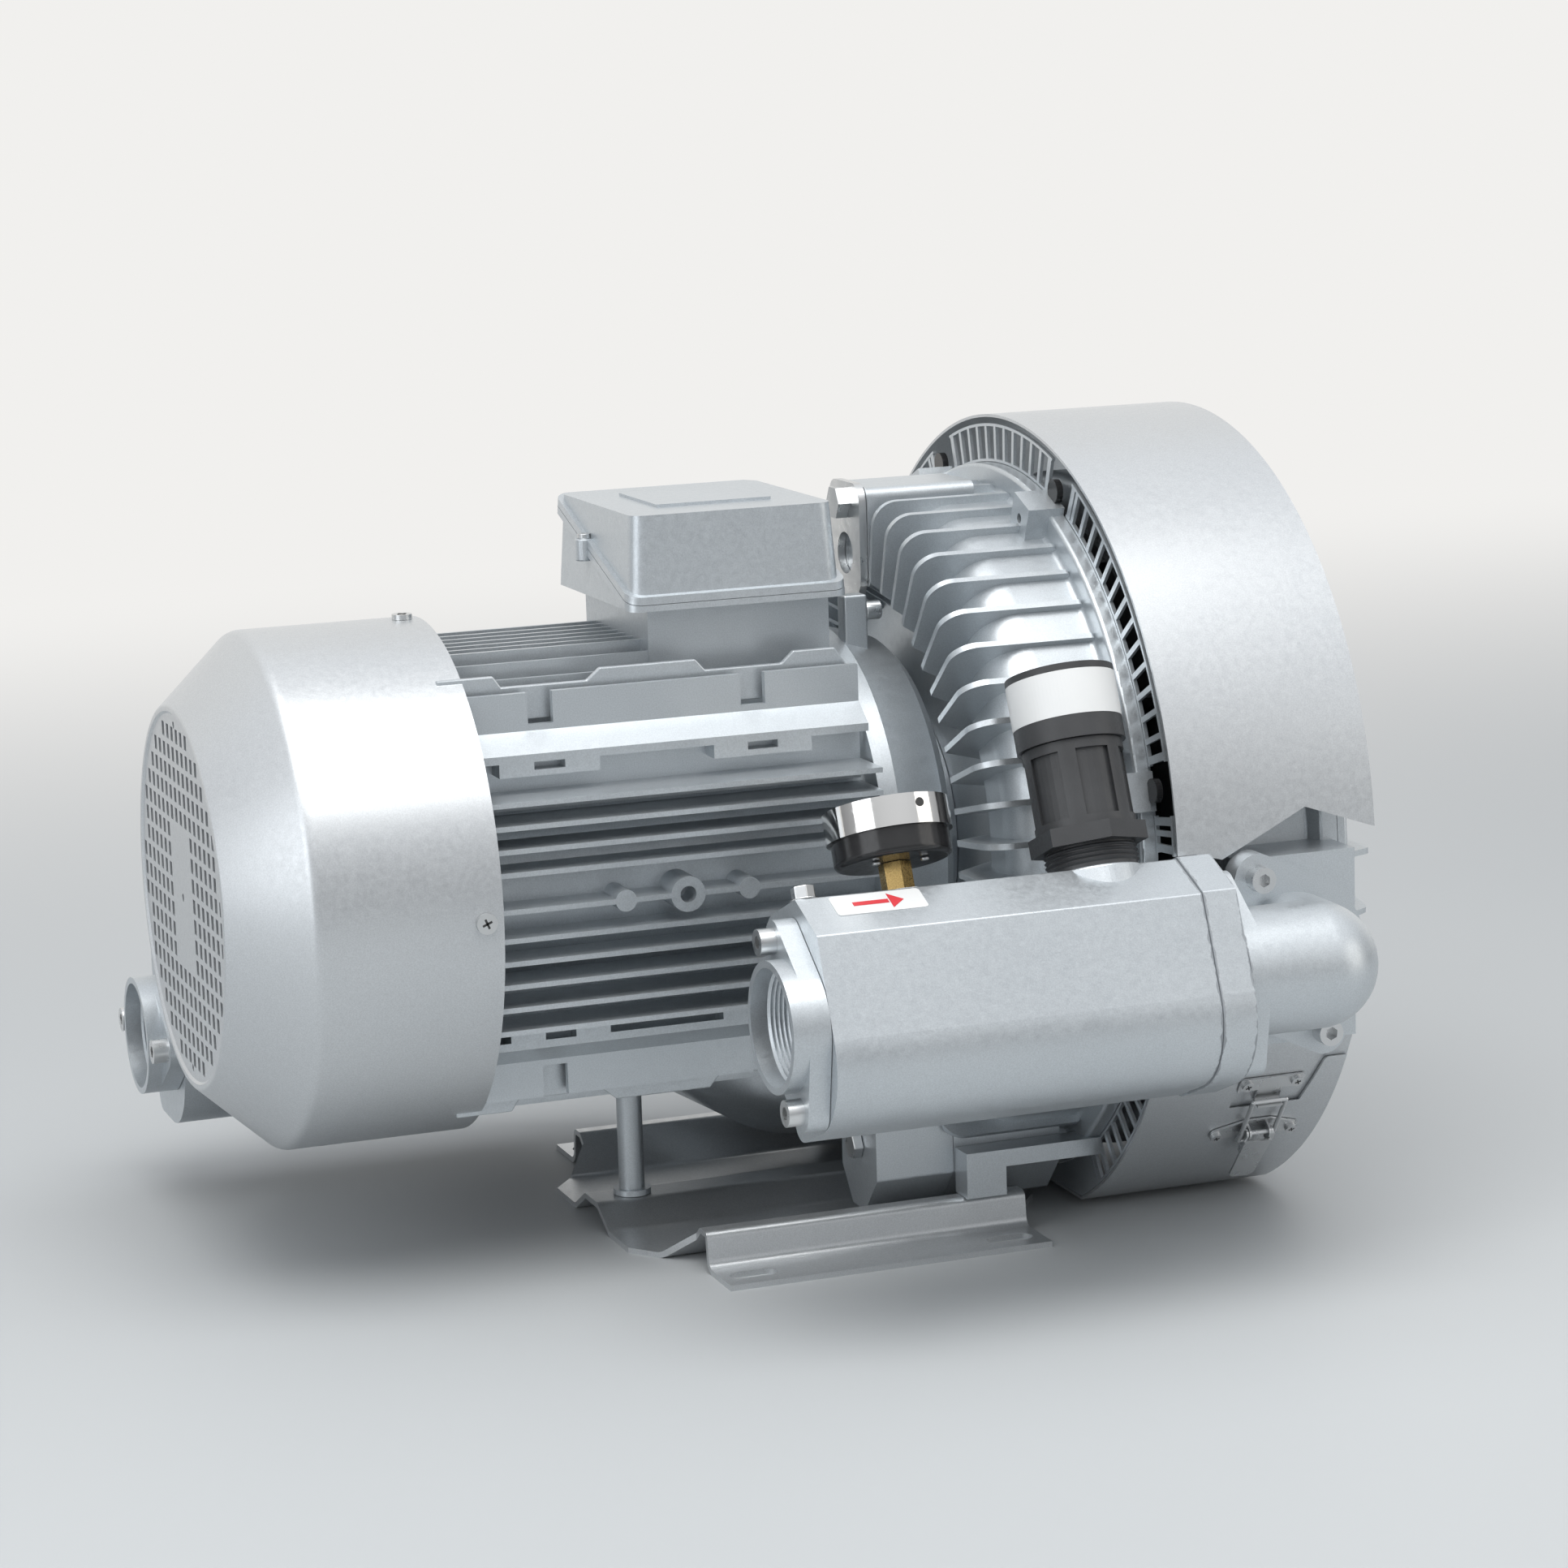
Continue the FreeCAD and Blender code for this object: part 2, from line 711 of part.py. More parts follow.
def motor_housing():
    rear = float(dim.motor_rear_x)
    front = float(dim.motor_fin_front_x)
    run = front - rear
    bore = float(dim.motor_bore_radius)
    outer = bore + float(dim.motor_wall)
    reach = float(dim.motor_fin_reach)
    thick = float(dim.fin_thickness)
    centre = Vec(rear, 0, AXIS_Z)
    full = float(dim.motor_front_x) - rear
    solids = [rod(outer, full, centre, X_AXIS)]
    solids.append(rod(dim.motor_ring_radius, dim.motor_ring_length,
                      Vec(float(dim.motor_front_x - dim.motor_ring_length), 0, AXIS_Z), X_AXIS))
    levels = [float(dim.side_fin_first) + i * float(dim.side_fin_pitch) for i in range(4)]
    levels += [-float(dim.side_fin_first) + 4.0 - i * float(dim.side_fin_pitch) for i in range(5)]
    levels.append(0.0)
    for level in levels:
        solids.append(Part.makeBox(run, 2 * reach, thick, Vec(rear, -reach, AXIS_Z + level - thick / 2)))
    round_radius = float(dim.motor_round_radius)
    box_left = float(dim.box_left_x) + float(dim.pedestal_inset)
    for i in range(-5, 6):
        y = i * float(dim.top_fin_pitch)
        height = math.sqrt(round_radius ** 2 - y ** 2) - 1
        down = min(height, float(MOTOR_BOTTOM))
        solids.append(Part.makeBox(run, thick, down, Vec(rear, y - thick / 2, AXIS_Z - down)))
        up = min(height, float(MOTOR_TOP))
        solids.append(Part.makeBox(box_left - rear + 2, thick, up, Vec(rear, y - thick / 2, AXIS_Z)))
    solids.extend(motor_outline_blocks())
    for degrees in (0, 90, 180, 270):
        lug = Part.makeBox(8, 11, 45, Vec(rear, -5.5, AXIS_Z + outer - 5))
        solids.append(around_axis(lug, degrees))
    # post seat under the frame
    solids.append(Part.makeBox(30, 26, 40, Vec(float(dim.post_x) - 15, -13, AXIS_Z - float(MOTOR_BOTTOM))))
    inset = float(dim.pedestal_inset)
    left = float(dim.box_left_x) + inset
    right = float(dim.box_right_x) - 4
    half = float(dim.box_half_width) - inset
    pedestal = Part.makeBox(right - left, 2 * half, float(dim.box_floor_z) - AXIS_Z - 60, Vec(left, -half, AXIS_Z + 60))
    solids.append(pedestal)
    for sy in (-1, 1):
        for x, r in ((0, float(dim.boss_radius)), (-1, 5.5), (1, 5.5)):
            at = Vec(float(dim.boss_x) + x * float(dim.boss_pitch), 0, AXIS_Z)
            solids.append(rod(r, reach, at, Vec(0, sy, 0)))
    body = solids[0].fuse(solids[1:])
    tools = [rod(bore, full + 2, Vec(rear - 1, 0, AXIS_Z), X_AXIS)]
    inside = float(dim.cover_radius - dim.cover_sheet) - float(dim.seat_gap)
    tools.append(tube(inside + 20, inside, float(dim.cover_open_x) - rear + 1.3, Vec(rear - 1, 0, AXIS_Z), X_AXIS))
    screw_x = float(dim.cover_open_x - dim.cover_screw_inset)
    for degrees in (0, 90, 180, 270):
        tools.append(around_axis(rod(dim.cover_screw_radius, 20, Vec(screw_x, 0, AXIS_Z + inside - 8), Vec(0, 0, 1)), degrees))
    for sy in (-1, 1):
        tools.append(rod(dim.boss_hole_radius, 16, Vec(float(dim.boss_x), sy * (reach + 0.01), AXIS_Z), Vec(0, -sy, 0)))
    well = Part.makeBox(right - left - 12, 2 * half - 12, float(dim.box_floor_z),
                        Vec(left + 6, -half + 6, AXIS_Z + bore - 6))
    tools.append(well)
    body = body.cut(tools).removeSplitter()
    return feature("motor_housing", body)


def motor_inside():
    fit = dim.running_gap
    half = dim.stator_length / 2
    left = dim.stator_centre_x - half
    right = dim.stator_centre_x + half
    core_bore = dim.rotor_radius + dim.air_gap
    outer = dim.motor_bore_radius - fit
    turned("stator_core", [(left, core_bore), (left, outer), (right, outer), (right, core_bore)])
    coil = [(left - 32, 62), (left - 32, 82), (left - fit, 82), (left - fit, 62)]
    rear_coil = turned("rear_winding", coil, node=False)
    coil = [(right + fit, 62), (right + fit, 82), (right + 26, 82), (right + 26, 62)]
    front_coil = turned("front_winding", coil, node=False)
    group_bodies("stator_windings", [rear_coil, front_coil])
    rotor = dim.rotor_radius
    turned("rotor_core", [(left, 22 + fit), (left, rotor), (right, rotor), (right, 22 + fit)])
    bearing = dim.shaft_radius + fit
    rings = []
    for label, start in (("rear_bearing", dim.rear_bearing_x), ("front_bearing", dim.front_bearing_x)):
        end = start + dim.bearing_width
        rings.append(turned(label, [
            (start, bearing), (start, dim.bearing_radius), (end, dim.bearing_radius), (end, bearing)], node=False))
    group_bodies("shaft_bearings", rings)


def end_shields():
    fit = dim.running_gap
    rear = dim.motor_rear_x
    bore = dim.bearing_radius + fit
    clear = dim.shaft_radius + 1.5
    turned("rear_end_shield", [
        (rear - 20, clear), (rear - 20, 40), (rear - 8, 44), (rear - 8, 112), (rear - fit, 112),
        (rear - fit, dim.motor_bore_radius - 12), (rear - 2, 44), (rear, bore), (rear - 16, bore),
        (rear - 16, clear)])
    front = dim.motor_front_x + fit
    end = dim.motor_front_x + dim.bell_length
    seat = dim.hub_wall_x - dim.seat_gap
    body = turned("drive_end_shield", [
        (front, 98), (front, dim.motor_ring_radius), (end, dim.bell_end_radius), (end + 5, dim.bell_end_radius - 5),
        (end + 5, 66), (seat, 66), (seat, clear + 20), (end + 5, clear + 20), (end + 5, clear), (end + 3, clear),
        (end + 3, bore), (front + 10, bore), (front + 10, 38), (end - 6, 42), (end - 6, 94)])
    return body


def shaft():
    fit = dim.running_gap
    rear = dim.fan_x - 8
    small = dim.shaft_radius
    half = dim.stator_length / 2
    left = dim.stator_centre_x - half - 20
    right = dim.stator_centre_x + half + 14
    turned("motor_shaft", [
        (rear, 0), (rear, small - 3), (dim.rear_bearing_x - 2, small - 3), (dim.rear_bearing_x - 2, small),
        (left, small), (left, 22), (right, 22), (right, small), (dim.end_stage_x + 44, small),
        (dim.end_stage_x + 44, 10), (dim.end_stage_x + 58, 10), (dim.end_stage_x + 58, 0)])


def motor_fan():
    """Plastic radial fan on the rear of the shaft."""
    small = dim.shaft_radius - 3 + dim.running_gap
    start = dim.fan_x
    body = turned("motor_cooling_fan", [
        (start, small), (start, 24), (start + 18, 30), (start + 22, dim.fan_radius), (start + 25, dim.fan_radius),
        (start + 25, small)])
    blade = slab(body, "fan_blade", "XZ_Plane", [
        (start + 2, 20), (start - 8, dim.fan_radius - 6), (start + 23, dim.fan_radius), (start + 23, 20)],
        2.5, midplane=True)
    polar(body, [blade], dim.fan_blades)


def fan_cover():
    """Pressed sheet hood with a flat grille and an open end."""
    t = dim.cover_sheet
    end = dim.cover_end_x
    shoulder = dim.cover_shoulder_x
    rim = dim.cover_open_x
    body = turned("fan_cover", [
        (end, 0), (end, dim.cover_end_radius), (shoulder, dim.cover_radius), (rim, dim.cover_radius),
        (rim, dim.cover_radius - t), (shoulder + 1, dim.cover_radius - t),
        (end + t, dim.cover_end_radius - 1), (end + t, 0)])
    round_edges(body, 9, circle_at(shoulder, dim.cover_radius))
    round_edges(body, 7, circle_at(shoulder + 1, dim.cover_radius - t))
    round_edges(body, 3, circle_at(end, dim.cover_end_radius))
    screw_x = dim.cover_open_x - dim.cover_screw_inset
    for plane, along in (("XZ_Plane", dim.cover_radius), ("XY_Plane", dim.cover_radius)):
        hole_pair(body, plane, screw_x, dim.cover_screw_radius, along + 5)


def hole_pair(body, plane, x, radius, reach):
    """Two opposite round holes through the wall, centred on the plane's origin line."""
    sketch = body.newObject("Sketcher::SketchObject", body.Name + "_holes")
    sketch.AttachmentSupport = [(origin_plane(body, plane), "")]
    sketch.MapMode = "FlatFace"
    circle = sketch.addGeometry(Part.Circle(Vec(float(x), 0, 0), Vec(0, 0, 1), float(radius)), False)
    sketch.addConstraint(Sketcher.Constraint("PointOnObject", circle, 3, -1))
    place_x = sketch.addConstraint(Sketcher.Constraint("DistanceX", -1, 1, circle, 3, float(x)))
    sketch.setExpression("Constraints[%d]" % place_x, size(x).text)
    wide = sketch.addConstraint(Sketcher.Constraint("Radius", circle, float(radius)))
    sketch.setExpression("Constraints[%d]" % wide, size(radius).text)
    doc.recompute()
    pocket = body.newObject("PartDesign::Pocket", body.Name + "_hole_pair")
    pocket.Profile = sketch
    bind(pocket, "Length", size(reach) * 2)
    pocket.Midplane = True
    doc.recompute()
    return pocket


def fan_cover_screws():
    solids = []
    radius = float(dim.cover_radius)
    for degrees in (90, 180, 270, 0):
        screw = rod(dim.cover_screw_radius - dim.running_gap, 9, Vec(0, 0, radius - 8), Vec(0, 0, 1))
        head = rod(5.2, 2.6, Vec(0, 0, radius + 0.02), Vec(0, 0, 1))
        piece = screw.fuse(head)
        piece.translate(Vec(float(dim.cover_open_x - dim.cover_screw_inset), 0, AXIS_Z))
        solids.append(around_axis(piece, degrees))
    return group("fan_cover_screws", solids)


# Terminal box

def box_block(grow=0.0):
    left = float(dim.box_left_x) - grow
    right = float(dim.box_right_x) + grow
    half = float(dim.box_half_width) + grow
    inset = float(dim.box_draft)
    low = float(dim.box_floor_z)
    high = float(dim.box_top_z)

    def ring(x0, x1, y, z, radius):
        edges = rounded_edges([(x0, -y, radius), (x1, -y, radius), (x1, y, radius), (x0, y, radius)])
        wire = Part.Wire(edges)
        wire.translate(Vec(0, 0, z))
        return wire

    lower = ring(left, right, half, low, 8.0)
    upper = ring(left + inset, right - inset, half - inset, high, 8.0)
    return Part.makeLoft([lower, upper], True, True)


def parting_wedge(shift=0.0):
    """Everything above the slanting joint between box and lid."""
    half = float(dim.box_half_width) + 20
    low = float(dim.box_floor_z) + 4
    high = float(dim.box_top_z) - 4
    rise = (high - low) / (2 * float(dim.box_half_width))
    middle = (low + high) / 2 + shift
    left = float(dim.box_left_x) - 20
    run = float(dim.box_right_x) + 20 - left
    pts = [(-half, middle - rise * half, 0), (half, middle + rise * half, 0), (half, 500, 0), (-half, 500, 0)]
    return bar(pts, "YZ", left, run)


def terminal_box():
    wall = float(dim.box_wall)
    outer = box_block()
    inner = box_block(-wall)
    floor = float(dim.box_floor_z)
    keep = Part.makeBox(400, 400, 100, Vec(-250, -200, floor + wall))
    keep_top = Part.makeBox(400, 400, float(dim.box_top_z) - wall - floor, Vec(-250, -200, floor))
    hollow = inner.common(keep).common(keep_top)
    shell = outer.cut(hollow)
    lip = float(dim.box_lip)
    band = box_block(lip).common(parting_wedge(-4.0)).cut(parting_wedge(4.0)).cut(hollow)
    band = band.common(Part.makeBox(400, 400, 400, Vec(-250, -200, floor)))
    whole = shell.fuse(band)
    gap = 0.15
    lid = whole.common(parting_wedge(gap))
    base = whole.cut(parting_wedge(-gap))
    panel = Part.makeBox(62, 62, 2, Vec(-42 - 31, -31, float(dim.box_top_z) - 0.5))
    lid = lid.fuse(panel)
    hole = Part.makeBox(60, 60, 20, Vec(-72, -30, floor - 5))
    entries = [rod(dim.entry_radius, 30, Vec(x, float(dim.box_half_width) + 6, floor + 21), Vec(0, -1, 0))
               for x in (-70.0, -14.0)]
    pieces = base.cut([hole] + entries)
    feature("terminal_box", pieces.removeSplitter())
    feature("terminal_box_lid", lid.removeSplitter())
    board = Part.makeBox(60, 36, 8, Vec(-72, -8, floor + wall + 0.3))
    for i in range(3):
        for j in range(2):
            stud = rod(2.5, 10, Vec(-62 + 20 * i, 0 + 18 * j, floor + wall + 8), Vec(0, 0, 1))
            board = board.fuse(stud)
    feature("terminal_board", board)
    plugs = []
    for x in (-70.0, -14.0):
        plug = rod(dim.entry_radius - dim.running_gap, 9, Vec(x, float(dim.box_half_width) - 6, floor + 21), Vec(0, 1, 0))
        head = placed(hexagon(30, 5), frame_at(Vec(x, float(dim.box_half_width) + 3, floor + 21), Vec(0, 1, 0), Vec(0, 0, 1)))
        plugs.append(plug.fuse(head))
    group("cable_entry_plugs", plugs)


# Stage housings

def stage_profile():
    """Outline of the motor side stage housing in x and radius."""
    wall = float(dim.stage_wall)
    hub = float(dim.hub_wall_x)
    left = float(dim.dome_left_x)
    rim_x = float(dim.stage_rim_x)
    rim = float(dim.stage_rim_radius)
    rim_t = float(dim.rim_thickness)
    outer = float(dim.dome_radius)
    inner = float(dim.dome_inner_radius)
    chamber = float(dim.impeller_radius) + 2.0
    return [
        (hub, 38, 0), (hub, inner, 3), (left, inner, 6), (left, outer, 24), (rim_x - rim_t, outer, 3),
        (rim_x - rim_t, rim, 2), (rim_x, rim, 0), (rim_x, chamber, 0), (left + wall + 18, chamber, 0),
        (left + wall, chamber - 1, 17), (left + wall, inner + wall, 14), (hub + 16, inner + wall, 0), (hub + 16, 38, 0),
    ]


def revolve_outline(outline):
    """Turns an outline in x and radius about the motor axis."""
    face = in_plane(rounded_face(outline), "XZ")
    solid = face.revolve(Vec(0, 0, 0), X_AXIS, 360)
    solid.translate(Vec(0, 0, AXIS_Z))
    return solid


def stage_fin():
    """One cooling fin of the motor side stage, standing on top, rooted in the wall."""
    left = float(dim.stage_fin_x)
    tip = float(dim.stage_fin_tip_radius)
    top = float(dim.stage_fin_radius)
    hub = float(dim.hub_wall_x)
    dome = float(dim.dome_left_x)
    wall = float(dim.stage_wall) / 2
    outer = float(dim.dome_radius)
    inner = float(dim.dome_inner_radius)
    right = float(dim.stage_rim_x - dim.rim_thickness)
    outline = [(left, tip, 1), (left, top, 13), (right - 1, top, 2), (right + 1, outer - 1, 0),
               (dome + 22, outer - 2, 0), (dome + 7, outer - 9, 0), (dome + wall, outer - 24, 0),
               (dome + wall, inner + wall, 0), (hub + 4, inner, 0), (hub + 4, tip - 20, 0), (hub, tip - 20, 0)]
    fin = bar(outline, "XZ", -float(dim.stage_fin_thickness) / 2, dim.stage_fin_thickness)
    fin.translate(Vec(0, 0, AXIS_Z))
    return fin


def stage_feet():
    """Cast feet under the rim that stand on the crests of the base."""
    low = float(dim.base_crest_z) + float(dim.seat_gap)
    half = float(dim.foot_block_width) / 2
    length = float(dim.foot_block_length)
    start = float(dim.foot_block_x) - length / 2
    solids = []
    for sy in (-1, 1):
        cy = sy * (float(dim.base_crest_y) + 1.5)
        foot = Part.makeBox(length, 2 * half, 24.0, Vec(start, cy - half, low))
        ledge = Part.makeBox(float(dim.stage_rim_x) - start, 2 * half, 9.0, Vec(start, cy - half, low + 15))
        solids.append(foot.fuse(ledge))
    return solids


def inner_stage_housing():
    shell = revolve_outline(stage_profile())
    number = count(dim.stage_fins)
    fin = stage_fin()
    pitch = 360.0 / number
    rooms = [Part.makeBox(float(dim.duct_joint_x) - 39, 56, 83, Vec(39.5, sy * float(dim.duct_y) - 28, 0)) for sy in (-1, 1)]
    fins = [around_axis(fin, pitch / 2 + i * pitch) for i in range(number)]
    fins = [item.cut(rooms) if item.BoundBox.ZMin < 85 else item for item in fins]
    body = shell.fuse(fins)
    rim_x = float(dim.stage_rim_x)
    lug = float(dim.lug_size)
    radius = float(dim.stage_rim_radius)
    lugs = []
    holes = []
    for degrees in (float(dim.lug_angle_low), float(dim.lug_angle_high)):
        for turn in (90 - degrees, degrees - 90):
            block = Part.makeBox(lug, lug, 22, Vec(rim_x - lug, -lug / 2, AXIS_Z + radius - 18))
            lugs.append(around_axis(block, turn))
            hole = rod(2.6, 12, Vec(rim_x - lug - 1, 0, AXIS_Z + radius - 6), X_AXIS)
            holes.append(around_axis(hole, turn))
    block = bar([(-24, 330, 3), (24, 330, 3), (24, 382, 5), (-24, 382, 5)], "YZ", 45.1, 60)
    ducts = []
    for sy in (-1, 1):
        duct = duct_outline(sy)
        ducts.append(bar(duct, "YZ", float(dim.duct_joint_x), 60))
    extras = block.fuse(lugs + ducts + stage_feet())
    chamber = float(dim.impeller_radius) + 2.0
    wall = float(dim.stage_wall)
    left = float(dim.dome_left_x)
    inner = float(dim.dome_inner_radius)
    hub = float(dim.hub_wall_x)
    clear = revolve_outline([
        (rim_x + 1, 0, 0), (rim_x + 1, chamber, 0), (left + wall + 18, chamber, 0), (left + wall, chamber - 1, 17),
        (left + wall, inner + wall, 14), (hub + 16, inner + wall, 0), (hub + 16, 0, 0)])
    bolt_hole = rod(5.05, 30, Vec(40, 0, float(dim.bracket_bolt_z)), X_AXIS)
    passages = [rod(17, 60, Vec(float(dim.duct_joint_x) - 1, sy * float(dim.duct_y), float(dim.duct_z)), X_AXIS)
                for sy in (-1, 1)]
    extras = extras.cut([clear, bolt_hole] + holes + passages)
    body = body.fuse(extras).cut(passages)
    return feature("inner_stage_housing", body)


def duct_outline(sy, grow=0.0):
    """Chamfered cast section of the duct under the stage."""
    y = float(dim.duct_y)
    half = float(dim.duct_half_width) + grow
    low = 12.0 - grow
    high = 82.0
    pts = [(y - half, low + 18, 2), (y - half + 14, low, 3), (y + half - 18, low, 3), (y + half, low + 20, 2),
           (y + half, high, 2), (y - half, high, 2)]
    return [(sy * a, b, r) for a, b, r in pts]


def duct_cap():
    start = float(dim.duct_cap_x)
    joint = float(dim.duct_joint_x)
    cap = bar(duct_outline(-1), "YZ", start, joint - start - 0.3)
    hollow = rod(17, joint - start - 8, Vec(start + 8, -float(dim.duct_y), float(dim.duct_z)), X_AXIS)
    cap = cap.cut(hollow)
    feature("duct_cap", cap)


def impeller(label, wall_x, disc, blade_from, blade_to):
    """Disc with straight radial blades in its outer ring."""
    fit = dim.running_gap
    inner = dim.dome_inner_radius + dim.stage_wall + 3
    body = turned(label, [
        (wall_x, dim.shaft_radius + fit), (wall_x, dim.impeller_hub_radius), (disc, dim.impeller_hub_radius),
        (disc, dim.impeller_radius), (disc + 6, dim.impeller_radius), (disc + 6, dim.impeller_hub_radius),
        (disc + 14, dim.impeller_hub_radius), (disc + 14, dim.shaft_radius + fit)])
    blade = slab(body, label + "_blade", "XZ_Plane", [
        (blade_from, inner), (blade_from, dim.impeller_radius), (blade_to, dim.impeller_radius), (blade_to, inner)],
        dim.blade_thickness, midplane=True)
    polar(body, [blade], dim.impeller_blades)


def inner_stage_cover():
    rim_x = dim.stage_rim_x
    radius = dim.impeller_radius + 1.5
    turned("inner_stage_cover", [
        (rim_x - 8, dim.shaft_radius + 1.5), (rim_x - 8, radius), (rim_x + dim.seat_gap, radius),
        (rim_x + dim.seat_gap, dim.stage_rim_radius - 4), (rim_x + 3, dim.stage_rim_radius - 4),
        (rim_x + 3, dim.shaft_radius + 1.5)])


def cooling_wheel():
    fit = dim.running_gap
    start = dim.cooling_wheel_x + 2
    end = start + dim.cooling_wheel_width
    body = turned("shroud_fan_wheel", [
        (start, dim.shaft_radius + fit), (start, 28), (end - 3, 32), (end - 3, dim.cooling_wheel_radius),
        (end, dim.cooling_wheel_radius), (end, dim.shaft_radius + fit)])
    blade = slab(body, "wheel_blade", "XZ_Plane", [
        (start, 60), (start + 4, dim.cooling_wheel_radius), (end - 2, dim.cooling_wheel_radius), (end - 2, 60)],
        2.0, midplane=True)
    polar(body, [blade], dim.cooling_wheel_blades)


def end_stage_housing():
    start = float(dim.end_stage_x)
    joint = float(dim.end_joint_x)
    outer = float(dim.end_stage_radius)
    chamber = float(dim.impeller_radius) + 2.0
    outline = [
        (start, 24, 0), (start, 120, 4), (start + 2, outer, 6), (joint - 14, outer, 2), (joint - 9, outer + 7, 2),
        (joint, outer + 7, 0), (joint, chamber, 0), (start + 14, chamber, 0), (start + 14, 24, 0),
    ]
    shell = revolve_outline(outline)
    stub = Part.makeBox(86, 60, 96, Vec(float(dim.elbow_x) - 43, -float(dim.elbow_plate_y) + 0.15, float(dim.silencer_z) - 48))
    stub = stub.cut(rod(outer - 3, 300, Vec(0, 0, AXIS_Z), X_AXIS))
    stub = stub.common(Part.makeBox(66, 400, 400, Vec(start + 2, -300, 0)))
    body = shell.fuse(stub)
    bore = rod(dim.elbow_bore_radius - 4, 60, Vec(float(dim.elbow_x) + 6, -float(dim.elbow_plate_y) - 1, float(dim.silencer_z)), Vec(0, 1, 0))
    body = body.cut(bore).removeSplitter()
    return feature("end_stage_housing", body)


def end_cover():
    joint = float(dim.end_joint_x)
    end = float(dim.end_cover_x)
    rim = float(dim.end_stage_radius) + 7
    outline = [
        (joint + 0.3, 0, 0), (joint + 0.3, rim, 0), (end - 1, rim, 2), (end, rim - 8, 3), (end + 3, 168, 4),
        (end + 3, 122, 4), (end - 3, 112, 4), (end - 3, 0, 0)]
    shell = revolve_outline(outline)
    number = count(dim.end_fins)
    top = float(dim.end_fin_radius)
    tip = float(dim.end_fin_x)
    base = end - 3
    fin_outline = [(base, 60, 0), (base + 8, 70, 4), (tip, top - 26, 5), (tip, top - 8, 5), (end - 2, top, 1), (base, top - 14, 0)]
    fin = bar(fin_outline, "XZ", -1.5, 3.0)
    fin.translate(Vec(0, 0, AXIS_Z))
    fins = [around_axis(fin, 360.0 / number * i) for i in range(number)]
    body = shell.fuse(fins).removeSplitter()
    return feature("end_cover", body)


def shaft_nut():
    start = float(dim.end_stage_x) + 44
    nut = placed(hexagon(30, 8), frame_at(Vec(start + 0.2, 0, AXIS_Z), X_AXIS, Vec(0, 0, 1)))
    nut = nut.cut(rod(10.05, 20, Vec(start - 1, 0, AXIS_Z), X_AXIS))
    return feature("impeller_nut", nut)


# Shroud and its air grid

def arc_band(radius, sheet_thickness, start, length, first, last):
    """Part of a cylinder wall between two angles, counted from the near side upwards."""
    ring = tube(radius, radius - sheet_thickness, length, Vec(start, 0, AXIS_Z), X_AXIS)
    span = 400.0
    pts = [Vec(start - 1, 0, AXIS_Z)]
    steps = max(2, int(abs(last - first) / 60) + 2)
    for i in range(steps):
        angle = math.radians(first + (last - first) * i / (steps - 1))
        pts.append(Vec(start - 1, -span * math.cos(angle), AXIS_Z + span * math.sin(angle)))
    pts.append(pts[0])
    wedge = Part.Face(Part.makePolygon(pts)).extrude(Vec(length + 2, 0, 0))
    return ring.common(wedge)


def upper_band():
    radius = float(dim.shroud_radius)
    thin = float(dim.shroud_sheet)
    left = float(dim.shroud_left_x)
    right = float(dim.shroud_right_x)
    run = right - left
    band = arc_band(radius, thin, left, run, 0, 180)
    notch = bar([(left - 5, AXIS_Z - 5, 0), (left - 5, AXIS_Z + 15, 0), (left + 10, AXIS_Z + 15, 0), (left + 24, AXIS_Z + 11, 0),
                 (left + 71, AXIS_Z + 33, 0), (right - 1, AXIS_Z + 20, 0), (right + 5, AXIS_Z + 20, 0), (right + 5, AXIS_Z - 5, 0)],
                "XZ", -300, 600)
    band = band.cut(notch)
    return feature("shroud_upper", band)


def angle_level(radius, degrees):
    """Height of a point of the wrap, counted from the level of the motor axis."""
    return AXIS_Z + float(radius) * math.sin(math.radians(float(degrees)))


def lower_band():
    """Removable lower wrap with a flat bottom, in one bent sheet, cut out for the catches."""
    radius = float(dim.shroud_lower_radius)
    thin = float(dim.shroud_sheet)
    left = float(dim.shroud_left_x)
    run = float(dim.shroud_right_x) - left - 1
    floor = float(dim.shroud_floor_z)
    outer = rod(radius, run, Vec(left, 0, AXIS_Z), X_AXIS)
    outer = outer.common(Part.makeBox(run, 600, 400, Vec(left, -300, floor)))
    inner = rod(radius - thin, run, Vec(left, 0, AXIS_Z), X_AXIS)
    inner = inner.common(Part.makeBox(run, 600, 400, Vec(left, -300, floor + thin)))
    band = outer.cut(inner)
    catch = float(dim.latch_x)
    top = angle_level(radius, -27)
    low = angle_level(radius, float(dim.catch_angle) - 4.4)
    side = angle_level(radius, -29.5)
    right = left + run + 1
    keep = bar([(left - 1, 0, 0), (right, 0, 0), (right, side, 0), (catch + 27, side, 3), (catch + 20, low, 0),
                (catch - 20, low, 0), (catch - 20, top, 0), (left - 1, top, 0)], "XZ", -300, 600)
    return feature("shroud_lower", band.common(keep))


def inner_strips():
    """Fixed strips under the lower wrap that carry the catches."""
    radius = float(dim.shroud_lower_radius) - float(dim.shroud_sheet) - 0.3
    thin = float(dim.shroud_sheet)
    left = float(dim.shroud_left_x) + 6
    run = float(dim.shroud_right_x) - left
    near = arc_band(radius, thin, left, run, -40, -25.5)
    far = near.mirror(Vec(0, 0, 0), Vec(0, 1, 0))
    return group("shroud_side_strips", [near, far])


